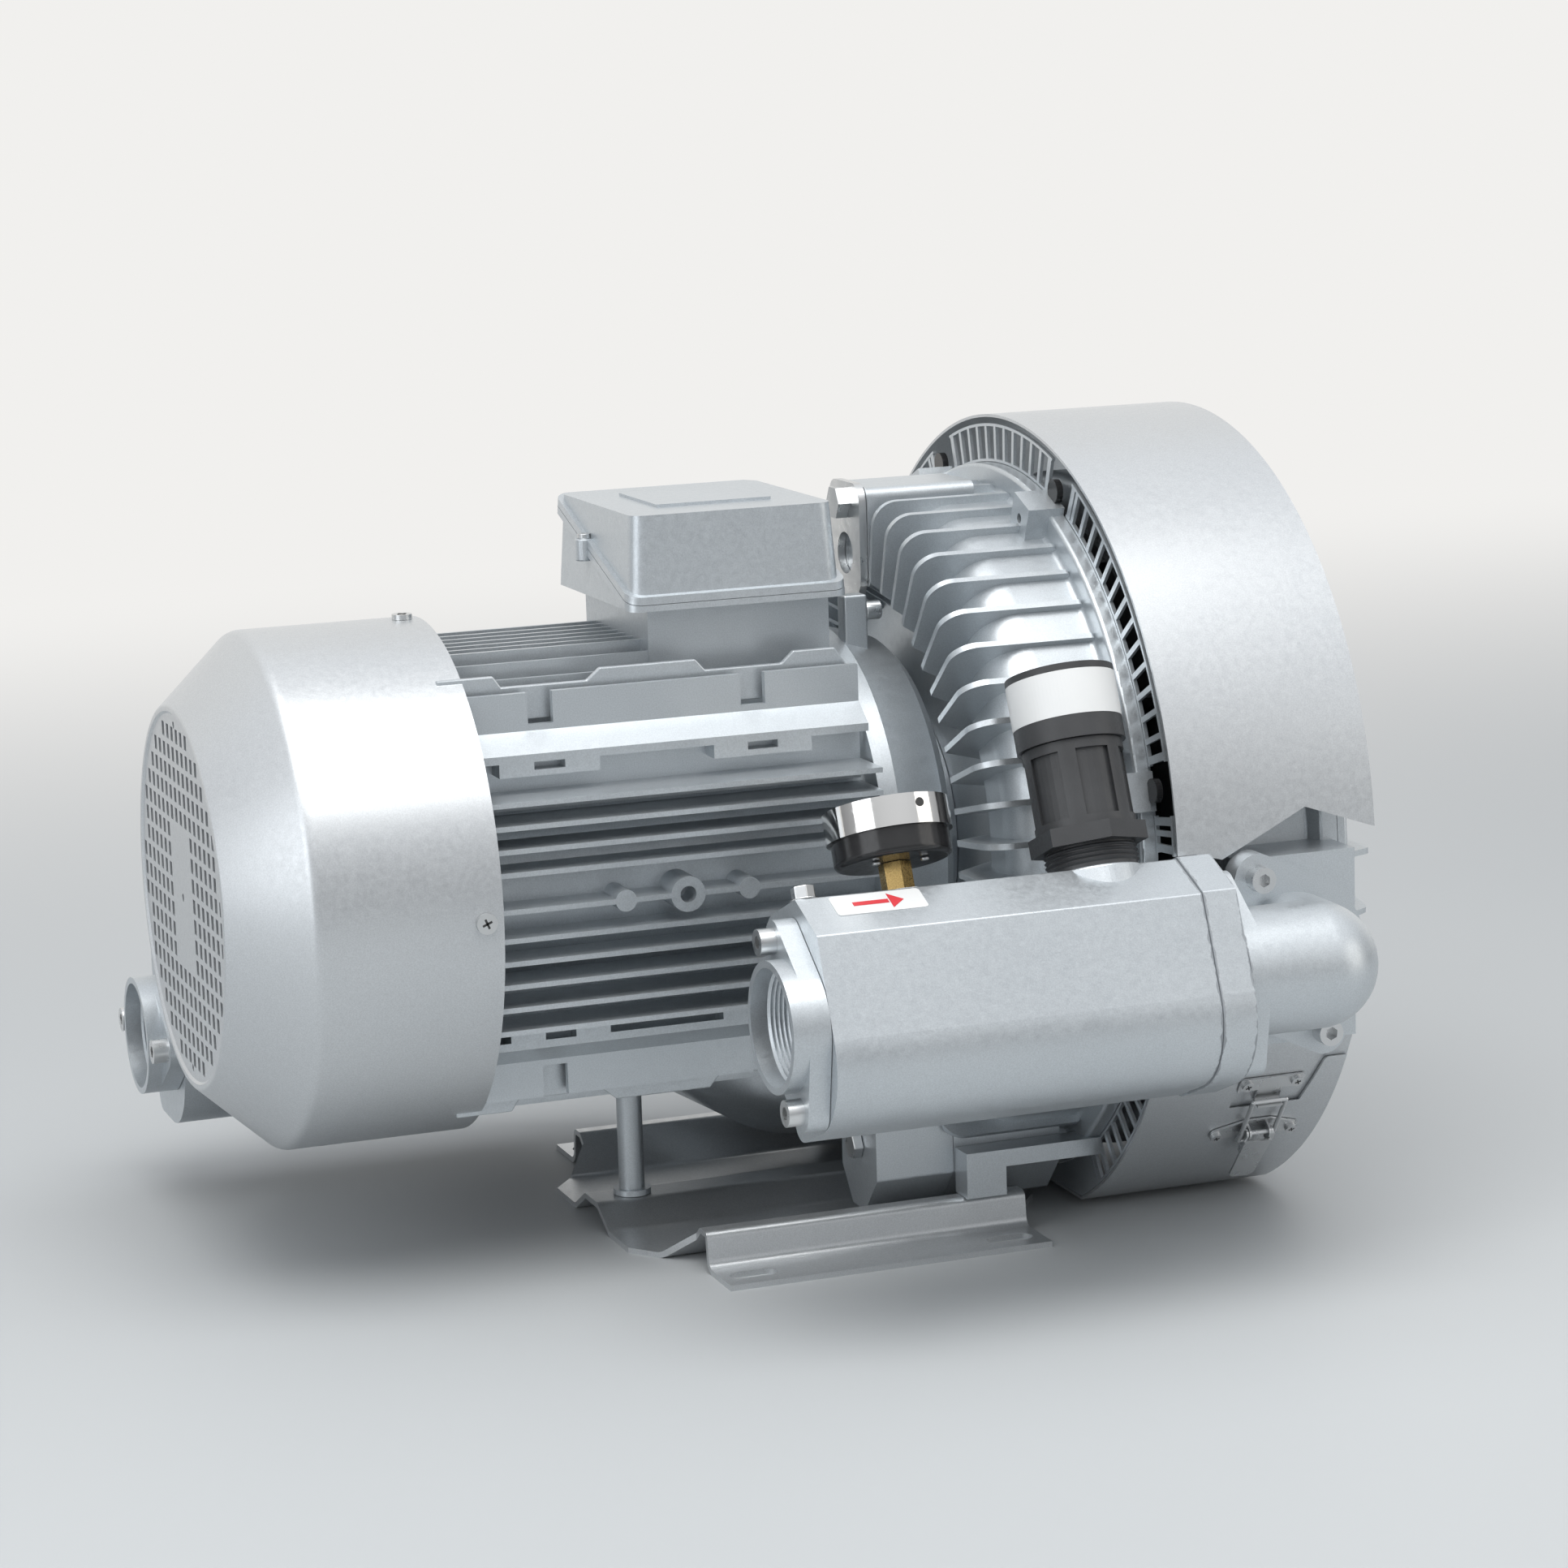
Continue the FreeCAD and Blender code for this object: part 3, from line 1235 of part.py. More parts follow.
def air_grid():
    """Slotted ring segments between the stage rim and the shroud."""
    thin = float(dim.grid_thickness)
    start = float(dim.shroud_left_x)
    inner = float(dim.stage_rim_radius) + 0.4
    outer = float(dim.shroud_lower_radius) - float(dim.shroud_sheet) - 0.3
    ring = tube(outer, inner, thin, Vec(start, 0, AXIS_Z), X_AXIS)
    floor = float(dim.shroud_floor_z) + float(dim.shroud_sheet) + 0.4
    ring = ring.common(Part.makeBox(20, 600, 600, Vec(start - 5, -300, floor)))
    number = count(dim.grid_slots)
    slot_radial = outer - inner - 6
    slot = Part.makeBox(thin + 2, float(dim.grid_slot_width), slot_radial,
                        Vec(start - 1, -float(dim.grid_slot_width) / 2, AXIS_Z + inner + 3))
    slots = []
    for i in range(number):
        degrees = 360.0 / number * (i + 0.5)
        if 148 < degrees < 212:
            continue
        slots.append(around_axis(slot, degrees))
    ring = ring.cut(slots)
    cuts = []
    for degrees in (float(dim.lug_angle_low), float(dim.lug_angle_high)):
        for turn in (90 - degrees, degrees - 90):
            block = Part.makeBox(thin + 2, 23, 40, Vec(start - 1, -11.5, AXIS_Z + inner - 10))
            cuts.append(around_axis(block, turn))
    cuts.append(Part.makeBox(20, 60, 101, Vec(start - 9, -240, 108)))
    ring = ring.cut(cuts)
    return feature("air_grid", ring)


# Silencers

def silencer_section(shrink=0.0):
    """Section across the silencer; its chamfer and its large round are on the low side of the first axis."""
    out = float(dim.silencer_out) - shrink
    inward = float(dim.silencer_in) - shrink
    up = float(dim.silencer_up) - shrink
    down = float(dim.silencer_down) - shrink
    chamfer = float(dim.silencer_chamfer)
    low_round = float(dim.silencer_round) - shrink
    return [(-out, up - chamfer, 1.5), (-out + chamfer, up, 2), (inward, up, 16), (inward, -down, 10),
            (-out, -down, low_round)]


def silencer_frame(x, y, z, tilt):
    """Placement whose X axis points to the far side, Y up along the silencer, Z along the motor axis."""
    angle = math.radians(float(tilt))
    across = Vec(0, math.cos(angle), -math.sin(angle))
    up = Vec(0, math.sin(angle), math.cos(angle))
    matrix = FreeCAD.Matrix(0, 0, 1, x, across.y, up.y, 0, y, across.z, up.z, 0, z, 0, 0, 0, 1)
    return FreeCAD.Placement(matrix)


def near_frame(x):
    return silencer_frame(float(x), -float(dim.silencer_y), float(dim.silencer_z), dim.silencer_tilt)


def far_frame(x):
    return silencer_frame(float(x), float(dim.far_silencer_y), float(dim.far_silencer_z), 0.0)


def silencer_body(frame):
    length = float(dim.silencer_length)
    face = rounded_face(silencer_section())
    inner = rounded_face(silencer_section(float(dim.silencer_wall)))
    solid = face.extrude(Vec(0, 0, length))
    wall = float(dim.silencer_wall)
    hollow = inner.extrude(Vec(0, 0, length - wall))
    hollow.translate(Vec(0, 0, wall))
    solid = solid.cut(hollow)
    solid = solid.cut(rod(dim.liner_bore_radius, wall + 2, Vec(0, 0, -1), Vec(0, 0, 1)))
    return placed(solid, frame)


def port_flange(frame, ears):
    face = ear_outline(dim.port_outer_radius, dim.ear_radius, dim.ear_pitch, ears)
    thick = float(dim.ear_thickness)
    plate = face.extrude(Vec(0, 0, thick - 0.3))
    plate.translate(Vec(0, 0, -thick))
    ring = rod(dim.port_outer_radius, float(dim.port_ring_length) + 2, Vec(0, 0, -thick - float(dim.port_ring_length)), Vec(0, 0, 1))
    solid = plate.fuse(ring)
    bore = rod(dim.port_bore_radius, 60, Vec(0, 0, -50), Vec(0, 0, 1))
    solid = solid.cut(bore)
    for degrees in ears:
        angle = math.radians(degrees)
        at = Vec(float(dim.ear_pitch) * math.cos(angle), float(dim.ear_pitch) * math.sin(angle), -thick - 2)
        solid = solid.cut(rod(dim.screw_radius, thick + 4, at, Vec(0, 0, 1)))
    return placed(solid.removeSplitter(), frame)


def port_screws(frame, ears):
    solids = []
    for degrees in ears:
        angle = math.radians(degrees)
        at = Vec(float(dim.ear_pitch) * math.cos(angle), float(dim.ear_pitch) * math.sin(angle), -float(dim.ear_thickness) - 0.02)
        screw = cap_screw(float(dim.ear_thickness) - 0.6)
        local = FreeCAD.Placement(at, FreeCAD.Rotation(Vec(1, 0, 0), 180))
        solids.append(placed(placed(screw, local), frame))
    return solids


def end_flange(frame):
    """Thick sealed flange closing the silencer on the elbow side."""
    face = rounded_face(silencer_section(-0.8))
    thick = float(dim.end_flange_thickness)
    solid = face.extrude(Vec(0, 0, thick - 0.3))
    solid.translate(Vec(0, 0, float(dim.silencer_length) + 0.3))
    solid = solid.cut(rod(dim.elbow_bore_radius, 60, Vec(0, 0, float(dim.silencer_length) - 5), Vec(0, 0, 1)))
    return placed(solid, frame)


def near_elbow():
    """Short 90 degree cast elbow from the silencer into the end stage."""
    start = float(dim.silencer_left_x + dim.silencer_length + dim.end_flange_thickness) + 0.3
    y = -float(dim.silencer_y)
    z = float(dim.silencer_z)
    r = float(dim.port_outer_radius)
    bend = Vec(float(dim.elbow_x), y, z)
    plate_y = -float(dim.elbow_plate_y)
    thick = float(dim.elbow_plate_thickness)
    face = ear_outline(r, float(dim.ear_radius), float(dim.ear_pitch))
    flange = face.extrude(Vec(0, 0, float(dim.elbow_flange_thickness)))
    flange = placed(flange, near_frame(start))
    run_in = rod(r, bend.x - start, Vec(start, y, z), X_AXIS)
    ball = Part.makeSphere(r, bend)
    run_out = rod(r, plate_y - y - 2, bend, Vec(0, 1, 0))
    lean = math.radians(float(dim.elbow_ear_angle))
    plate = ear_outline(dim.elbow_plate_radius, 12.0, dim.elbow_ear_pitch).extrude(Vec(0, 0, thick))
    up = Vec(-math.sin(lean), 0, math.cos(lean))
    plate = placed(plate, frame_at(Vec(bend.x, plate_y - thick, z), Vec(0, 1, 0), up))
    solid = flange.fuse([run_in, ball, run_out, plate])
    b = float(dim.elbow_bore_radius)
    hollow = rod(b, bend.x - start + 1, Vec(start - 1, y, z), X_AXIS)
    hollow = hollow.fuse([Part.makeSphere(b, bend), rod(b, plate_y - y + 1, bend, Vec(0, 1, 0))])
    solid = solid.cut(hollow)
    for sign in (-1, 1):
        at = Vec(bend.x, plate_y - thick - 1, z) + up * (sign * float(dim.elbow_ear_pitch))
        solid = solid.cut(rod(dim.screw_radius, thick + 2, at, Vec(0, 1, 0)))
    feature("near_elbow", solid.removeSplitter())
    screws = []
    for sign in (-1, 1):
        at = Vec(bend.x, plate_y - thick - 0.02, z) + up * (sign * float(dim.elbow_ear_pitch))
        screws.append(placed(cap_screw(thick - 0.6), frame_at(at, Vec(0, -1, 0), up)))
    group("elbow_screws", screws)


def far_bend():
    """Swept cast bend from the far silencer down to the duct under the stage."""
    start = float(dim.far_silencer_left_x + dim.silencer_length + dim.end_flange_thickness) + 0.3
    y0 = float(dim.far_silencer_y)
    z0 = float(dim.far_silencer_z)
    y1 = float(dim.duct_y)
    z1 = float(dim.duct_z)
    end = float(dim.duct_joint_x) - 10.3
    a = Vec(start, y0, z0)
    d = Vec(end, y1, z1)
    lean = 22.0
    b = Vec(start + lean, y0, z0)
    c = Vec(end - lean, y1, z1)
    path = smooth_path([a, b, c, d], 0.45)
    outer = Part.Wire([Part.Circle(a, X_AXIS, float(dim.bend_radius)).toShape()])
    inner = Part.Wire([Part.Circle(a, X_AXIS, float(dim.elbow_bore_radius)).toShape()])
    solid = Part.Wire(path).makePipeShell([outer], True, True)
    hollow = Part.Wire(path).makePipeShell([inner], True, True)
    flange = bar(duct_outline(1), "YZ", end, 9.9)
    collar = rod(dim.bend_radius + 6, 10, a, X_AXIS)
    solid = solid.fuse([flange, collar]).cut([hollow, rod(17, 40, Vec(end - 20, y1, z1), X_AXIS)])
    feature("far_bend", solid.removeSplitter())


def smooth_path(points, share):
    """Straight runs joined by arcs that are as large as the shorter run allows."""
    edges = []
    last = points[0]
    for i in range(1, len(points) - 1):
        back = points[i - 1] - points[i]
        ahead = points[i + 1] - points[i]
        reach = share * min(back.Length, ahead.Length)
        back.normalize()
        ahead.normalize()
        half = back.getAngle(ahead) / 2
        radius = reach * math.tan(half)
        bisector = (back + ahead).normalize()
        centre = points[i] + bisector * (radius / math.sin(half))
        enter = points[i] + back * reach
        leave = points[i] + ahead * reach
        edges.append(Part.LineSegment(last, enter).toShape())
        edges.append(Part.Arc(enter, centre - bisector * radius, leave).toShape())
        last = leave
    edges.append(Part.LineSegment(last, points[-1]).toShape())
    return edges


def silencers():
    near_x = dim.silencer_left_x
    far_x = dim.far_silencer_left_x
    vertical = (90, 270)
    level = (0, 180)
    near = silencer_body(near_frame(near_x))
    axis_up = near_frame(near_x).Rotation.multVec(Vec(0, 1, 0))
    for x, across, r in ((dim.gauge_x, dim.gauge_across, 6.6), (dim.valve_x, dim.valve_across, float(dim.valve_neck_radius))):
        base = on_near_top(x, across, -8.0)
        near = near.cut(rod(r + 0.05, 20, base, axis_up))
    feature("near_silencer", near.removeSplitter())
    feature("far_silencer", silencer_body(far_frame(far_x)))
    feature("near_port_flange", port_flange(near_frame(near_x), vertical))
    feature("far_port_flange", port_flange(far_frame(far_x), level))
    group("silencer_end_flanges", [end_flange(near_frame(near_x)), end_flange(far_frame(far_x))])
    screws = port_screws(near_frame(near_x), vertical) + port_screws(far_frame(far_x), level)
    group("port_flange_screws", screws)
    wall = float(dim.silencer_wall)
    length = float(dim.silencer_length) - wall - 0.6
    liner = tube(dim.liner_radius, dim.liner_bore_radius, length, Vec(0, 0, wall + 0.3), Vec(0, 0, 1))
    group("silencer_liners", [placed(liner, near_frame(near_x)), placed(liner, far_frame(far_x))])


def on_near_top(x, across, rise=0.0):
    """A point on the flat top of the near silencer, at x, across and above it."""
    frame = near_frame(x)
    return frame.multVec(Vec(float(across), float(dim.silencer_up) + rise, 0))


# Instruments on the near silencer

def instrument_frame(x, across, rise):
    frame = near_frame(x)
    up = frame.Rotation.multVec(Vec(0, 1, 0))
    return frame_at(on_near_top(x, across, rise), up, X_AXIS)


def gauge():
    base = instrument_frame(dim.gauge_x, dim.gauge_across, 0.3)
    washer = tube(dim.washer_radius, 6.8, 1.6, Vec(0, 0, 0), Vec(0, 0, 1))
    feature("gauge_washer", placed(washer, base))
    stem = hexagon(dim.gauge_stem_flats, dim.gauge_stem_height, Vec(0, 0, 1.9))
    thread = rod(6.6, 8, Vec(0, 0, -5), Vec(0, 0, 1))
    stem = stem.fuse(thread)
    low = 1.9 + float(dim.gauge_stem_height)
    feature("gauge_stem", placed(stem.removeSplitter(), base))
    radius = float(dim.gauge_radius)
    height = float(dim.gauge_case_height)
    case = rod(radius - 1, height, Vec(0, 0, low + 0.3), Vec(0, 0, 1))
    case = case.makeFillet(3, [e for e in case.Edges if abs(e.CenterOfMass.z - low - 0.3) < 0.01 and e.Length > 100])
    case = case.cut(rod(radius - 4, height - 5, Vec(0, 0, low + 5.3), Vec(0, 0, 1)))
    feature("gauge_case", placed(case, base))
    top = low + 0.3 + height
    bezel_height = float(dim.gauge_bezel_height)
    bezel = tube(radius + 1, radius - 0.95, bezel_height, Vec(0, 0, top - 2), Vec(0, 0, 1))
    lip = tube(radius + 1, radius - 5, 2, Vec(0, 0, top - 2 + bezel_height - 2), Vec(0, 0, 1))
    seat = tube(radius, radius - 3, 2, Vec(0, 0, top + 0.2), Vec(0, 0, 1))
    bezel = bezel.fuse([lip, seat])
    feature("gauge_bezel", placed(bezel.removeSplitter(), base))
    dial = tube(radius - 4.2, 1.4, 1, Vec(0, 0, top - 8), Vec(0, 0, 1))
    feature("gauge_dial", placed(dial, base))
    glass = rod(radius - 1.2, 2, Vec(0, 0, top + 8.6), Vec(0, 0, 1))
    feature("gauge_glass", placed(glass, base))
    hub = rod(2.6, 2.4, Vec(0, 0, top - 6), Vec(0, 0, 1))
    pin = rod(1.3, 4, Vec(0, 0, top - 9.5), Vec(0, 0, 1))
    blade = bar([(-1, -9, 0), (1, -9, 0), (0.5, 20, 0), (-0.5, 20, 0)], "XY", top - 5.5, 0.8)
    needle = hub.fuse([pin, blade])
    feature("gauge_needle", placed(needle.removeSplitter(), base))


def relief_valve():
    base = instrument_frame(dim.valve_x, dim.valve_across, 0.0)
    neck_r = float(dim.valve_neck_radius)
    neck = rod(neck_r, float(dim.valve_neck_height) + 6, Vec(0, 0, -6), Vec(0, 0, 1))
    hex_low = float(dim.valve_neck_height)
    nut = hexagon(float(dim.valve_hex_radius) * 1.78, dim.valve_hex_height, Vec(0, 0, hex_low))
    cage_low = hex_low + float(dim.valve_hex_height)
    cage_h = float(dim.valve_cage_height)
    cage = rod(dim.valve_cage_radius, cage_h, Vec(0, 0, cage_low), Vec(0, 0, 1))
    body = neck.fuse([nut, cage])
    inner = float(dim.valve_cage_radius) - 4
    tools = [rod(inner, cage_h - 4, Vec(0, 0, cage_low + 4), Vec(0, 0, 1)), rod(12, 60, Vec(0, 0, -10), Vec(0, 0, 1))]
    number = count(dim.valve_windows)
    for i in range(number):
        window = Part.makeBox(12, 17, cage_h - 9, Vec(float(dim.valve_cage_radius) - 6, -8.5, cage_low + 4))
        window.rotate(Vec(0, 0, 0), Vec(0, 0, 1), 360.0 / number * i)
        tools.append(window)
    body = body.cut(tools)
    feature("valve_body", placed(body.removeSplitter(), base))
    cap_low = cage_low + cage_h + 0.3
    cap_h = float(dim.valve_cap_height)
    cap = rod(dim.valve_cap_radius, cap_h, Vec(0, 0, cap_low), Vec(0, 0, 1))
    cap = cap.cut(rod(float(dim.valve_cap_radius) - 4, cap_h - 5, Vec(0, 0, cap_low - 1), Vec(0, 0, 1)))
    cap = cap.cut(rod(6, 20, Vec(0, 0, cap_low + cap_h - 10), Vec(0, 0, 1)))
    feature("valve_cap", placed(cap, base))
    stem_top = cap_low + cap_h - 2
    poppet = rod(dim.poppet_radius, 4, Vec(0, 0, cage_low + 4.3), Vec(0, 0, 1))
    stem = rod(4, stem_top - cage_low - 6, Vec(0, 0, cage_low + 6), Vec(0, 0, 1))
    feature("valve_poppet", placed(poppet.fuse(stem).removeSplitter(), base))
    spring = tube(12, 9.5, cap_low + cap_h - 9 - (cage_low + 8.6), Vec(0, 0, cage_low + 8.6), Vec(0, 0, 1))
    feature("valve_spring", placed(spring, base))


# Lifting bracket

def lifting_bracket():
    thick = 4.0
    x = 40.8
    outline = [(-22, 384, 10), (-22, 318, 20), (22, 318, 20), (22, 384, 10)]
    plate = bar(outline, "YZ", x, thick)
    eye = rod(dim.eye_radius, 20, Vec(x - 5, 0, float(dim.eye_z)), X_AXIS)
    plate = plate.cut([eye, rod(5, 20, Vec(x - 5, 0, float(dim.bracket_bolt_z)), X_AXIS)])
    feature("lifting_bracket", plate)
    bolt = hex_screw(4.95, 20)
    bolt = placed(bolt, frame_at(Vec(x - 0.02, 0, float(dim.bracket_bolt_z)), Vec(-1, 0, 0), Vec(0, 0, 1)))
    group("hex_bolts", [bolt])


# Latches

def wrap_frame(sy, x, degrees, radius):
    """Placement on the wrap: X along the motor axis, Y down the wrap, Z outwards."""
    angle = math.radians(float(degrees))
    out = Vec(0, sy * math.cos(angle), math.sin(angle))
    down = Vec(0, sy * math.sin(angle), -math.cos(angle))
    at = Vec(float(x), 0, AXIS_Z) + out * float(radius)
    side = down.cross(out)
    matrix = FreeCAD.Matrix(side.x, down.x, out.x, at.x, side.y, down.y, out.y, at.y,
                            side.z, down.z, out.z, at.z, 0, 0, 0, 1)
    return FreeCAD.Placement(matrix)


def pan_screw(length, radius=1.6, head=3.2, height=1.8):
    """A pan head screw standing on the XY plane."""
    top = rod(head, height, Vec(0, 0, 0), Vec(0, 0, 1))
    return top.fuse(rod(radius, length, Vec(0, 0, 0), Vec(0, 0, -1)))


def latch_base(frame):
    """Bracket with two ears and two wings, fixed on the lower wrap."""
    thin = 1.2
    ear_x = 5.0
    pivot = float(dim.latch_pivot_height)
    plate = Part.makeBox(15, 20, thin, Vec(-7.5, -6, 0))
    wing = bar([(-7, -6, 0), (-25, 1, 3.5), (-25, 9, 3.5), (-7, 7, 0)], "XY", 0, thin)
    wing_right = wing.mirror(Vec(0, 0, 0), Vec(1, 0, 0))
    pieces = [wing, wing_right]
    for x in (-ear_x - thin, ear_x):
        ear = Part.makeBox(thin, 6, pivot, Vec(x, -3, 0))
        pieces.append(ear.fuse(rod(3, thin, Vec(x, 0, pivot), X_AXIS)))
    base = plate.fuse(pieces)
    base = base.cut([rod(1.25, 40, Vec(-20, 0, pivot), X_AXIS), rod(1.7, 9, Vec(-21.5, 5, -3), Vec(0, 0, 1)),
                     rod(1.7, 9, Vec(21.5, 5, -3), Vec(0, 0, 1))])
    return placed(base.removeSplitter(), frame)


def latch_lever(frame):
    """Folding lever with its two ears and the pivot pin."""
    thin = 1.2
    ear_x = 6.5
    pivot = float(dim.latch_pivot_height)
    throw = float(dim.latch_throw)
    cover = bar([(-ear_x - thin, 3.6, 0), (ear_x + thin, 3.6, 0), (7, 36, 4), (-7, 36, 4)], "XY", pivot + 2.2, thin)
    pieces = []
    for x in (-ear_x - thin, ear_x):
        ear = rod(2.6, thin, Vec(x, 0, pivot), X_AXIS).fuse(Part.makeBox(thin, throw + 2, 5.0, Vec(x, 0, pivot - 2.6)))
        pieces.append(ear)
        pieces.append(Part.makeBox(thin, throw + 4, 3.3, Vec(x, 3.6, pivot)))
    pieces.append(rod(1.2, 2 * (ear_x + thin), Vec(-ear_x - thin, 0, pivot), X_AXIS))
    lever = cover.fuse(pieces)
    hole = float(dim.wire_radius) + float(dim.running_gap)
    lever = lever.cut(rod(hole, 40, Vec(-20, throw, pivot), X_AXIS))
    return placed(lever.removeSplitter(), frame)


def latch_bail(frame):
    """Wire loop that pulls on the catch."""
    wire = float(dim.wire_radius)
    pivot = float(dim.latch_pivot_height)
    throw = float(dim.latch_throw)
    reach = float(dim.latch_reach)
    half = 9.4
    low = 1.6
    inner = 6.6
    corners = [Vec(-inner, throw, pivot), Vec(-half, throw, pivot), Vec(-half, -reach, low), Vec(half, -reach, low),
               Vec(half, throw, pivot), Vec(inner, throw, pivot)]
    pieces = []
    for start, end in zip(corners, corners[1:]):
        pieces.append(rod(wire, (end - start).Length, start, end - start))
    for corner in corners[1:-1]:
        pieces.append(Part.makeSphere(wire, corner))
    bail = pieces[0].fuse(pieces[1:])
    return placed(bail.removeSplitter(), frame)


def catch_plate(sy):
    """T-shaped plate with an upstanding tab, screwed on the side strip."""
    radius = float(dim.shroud_lower_radius) - float(dim.shroud_sheet)
    frame = wrap_frame(sy, dim.latch_x, dim.catch_angle, radius)
    half = float(dim.catch_screw_pitch) / 2
    reach = math.radians(float(dim.catch_angle) - float(dim.latch_angle)) * (radius + 3) - float(dim.latch_reach)
    tab = reach + float(dim.wire_radius) + 0.3
    plate = bar([(-half - 4.5, -4, 2), (half + 4.5, -4, 2), (half + 4.5, 4.5, 0), (-half - 4.5, 4.5, 0)], "XY", 0, 1.2)
    tongue = Part.makeBox(14, tab + 2, 1.2, Vec(-7, 0, 0))
    stop = Part.makeBox(14, 1.2, 6.5, Vec(-7, tab, 0))
    whole = plate.fuse([tongue, stop])
    for x in (-half, half):
        whole = whole.cut(rod(1.7, 9, Vec(x, 0, -3), Vec(0, 0, 1)))
    return placed(whole.removeSplitter(), frame)


def latches():
    screws = []
    bases = []
    catches = []
    radius = float(dim.shroud_lower_radius)
    for side, sy in (("near", -1), ("far", 1)):
        frame = wrap_frame(sy, dim.latch_x, dim.latch_angle, radius + 0.3)
        bases.append(latch_base(frame))
        feature(side + "_latch_lever", latch_lever(frame))
        feature(side + "_latch_bail", latch_bail(frame))
        catches.append(catch_plate(sy))
        for x in (-21.5, 21.5):
            screws.append(placed(pan_screw(1.4), frame.multiply(FreeCAD.Placement(Vec(x, 5, 1.22), FreeCAD.Rotation()))))
        catch_frame = wrap_frame(sy, dim.latch_x, dim.catch_angle, radius - float(dim.shroud_sheet))
        half = float(dim.catch_screw_pitch) / 2
        for x in (-half, half):
            at = FreeCAD.Placement(Vec(x, 0, 1.22), FreeCAD.Rotation())
            screws.append(placed(pan_screw(1.2), catch_frame.multiply(at)))
    group("latch_bases", bases)
    group("catch_plates", catches)
    group("shroud_screws", screws)


def build():
    base_plate()
    motor_housing()
    support_post()
    motor_inside()
    end_shields()
    shaft()
    motor_fan()
    fan_cover()
    fan_cover_screws()
    terminal_box()
    lifting_bracket()
    inner_stage_housing()
    impeller("inner_impeller", dim.hub_wall_x + 17, dim.hub_wall_x + 30, dim.hub_wall_x + 18, dim.hub_wall_x + 31)
    inner_stage_cover()
    cooling_wheel()
    end_stage_housing()
    impeller("end_impeller", dim.end_stage_x + 15, dim.end_stage_x + 30, dim.end_stage_x + 18, dim.end_stage_x + 31)
    end_cover()
    shaft_nut()
    upper_band()
    lower_band()
    inner_strips()
    air_grid()
    silencers()
    near_elbow()
    far_bend()
    duct_cap()
    gauge()
    relief_valve()
    latches()


def write_parts():
    doc.recompute()
    for item in doc.Objects:
        if "Invalid" in item.State or "Error" in item.State:
            raise RuntimeError("%s failed to compute" % item.Label)
    for label, item in nodes.items():
        shape = item.Shape
        if shape.isNull() or not shape.isValid() or not shape.Solids:
            raise RuntimeError("%s has no valid solid" % label)
    for label, item in nodes.items():
        item.Shape.exportStep("parts/%s.step" % label)
    print("%d nodes" % len(nodes))


build()
write_parts()
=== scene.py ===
import bpy
import bmesh
import json
import math
from mathutils import Matrix, Vector


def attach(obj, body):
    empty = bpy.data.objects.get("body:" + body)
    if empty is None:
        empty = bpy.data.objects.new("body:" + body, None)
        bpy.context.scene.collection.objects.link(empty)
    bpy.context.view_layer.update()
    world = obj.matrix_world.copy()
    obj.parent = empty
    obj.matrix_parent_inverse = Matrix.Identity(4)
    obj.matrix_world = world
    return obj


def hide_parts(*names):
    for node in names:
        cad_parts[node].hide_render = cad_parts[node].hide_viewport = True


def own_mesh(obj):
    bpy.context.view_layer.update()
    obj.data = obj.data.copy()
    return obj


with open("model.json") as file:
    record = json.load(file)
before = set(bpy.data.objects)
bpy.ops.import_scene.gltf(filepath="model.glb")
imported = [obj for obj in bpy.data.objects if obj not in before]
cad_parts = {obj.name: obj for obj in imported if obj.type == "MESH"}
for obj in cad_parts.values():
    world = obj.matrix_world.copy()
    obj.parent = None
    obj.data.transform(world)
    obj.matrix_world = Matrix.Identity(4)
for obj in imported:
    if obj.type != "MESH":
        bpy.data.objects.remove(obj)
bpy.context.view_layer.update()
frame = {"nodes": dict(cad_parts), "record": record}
nodes = frame["nodes"]
scene = bpy.context.scene
print("frame loaded:", len(nodes), "nodes")

# height of the motor's axis, lean of the near silencer's top, and the bend from which an edge counts as sharp
axisZ = 0.1973
tilt = math.radians(22.5)
sharpAngle = 0.5


# helpers and node groups shared by the finishes

def feed(tree, socket, value):
    # a number or colour is set on the socket, an output is linked to it
    if isinstance(value, (int, float, tuple)):
        socket.default_value = value
    else:
        tree.links.new(value, socket)


def scaled(colour, share):
    return tuple(channel * share for channel in colour[:3]) + (1,)


def newGroup(name, inputs, outputs):
    tree = bpy.data.node_groups.new(name, "ShaderNodeTree")
    for label, kind, value in inputs:
        socket = tree.interface.new_socket(name=label, in_out="INPUT", socket_type=kind)
        if value is not None:
            socket.default_value = value
    for label, kind in outputs:
        tree.interface.new_socket(name=label, in_out="OUTPUT", socket_type=kind)
    return tree, tree.nodes.new("NodeGroupInput"), tree.nodes.new("NodeGroupOutput")


def noise(tree, vector, size, detail=3.0, rough=0.55):
    node = tree.nodes.new("ShaderNodeTexNoise")
    feed(tree, node.inputs["Vector"], vector)
    feed(tree, node.inputs["Scale"], size)
    node.inputs["Detail"].default_value = detail
    node.inputs["Roughness"].default_value = rough
    return node.outputs["Fac"]


def ramp(tree, source, low, high, fromValue=0.0, toValue=1.0):
    node = tree.nodes.new("ShaderNodeMapRange")
    node.inputs["From Min"].default_value = low
    node.inputs["From Max"].default_value = high
    node.inputs["To Min"].default_value = fromValue
    node.inputs["To Max"].default_value = toValue
    tree.links.new(source, node.inputs["Value"])
    return node.outputs["Result"]


def maths(tree, kind, a, b=0.0):
    node = tree.nodes.new("ShaderNodeMath")
    node.operation = kind
    feed(tree, node.inputs[0], a)
    feed(tree, node.inputs[1], b)
    return node.outputs[0]


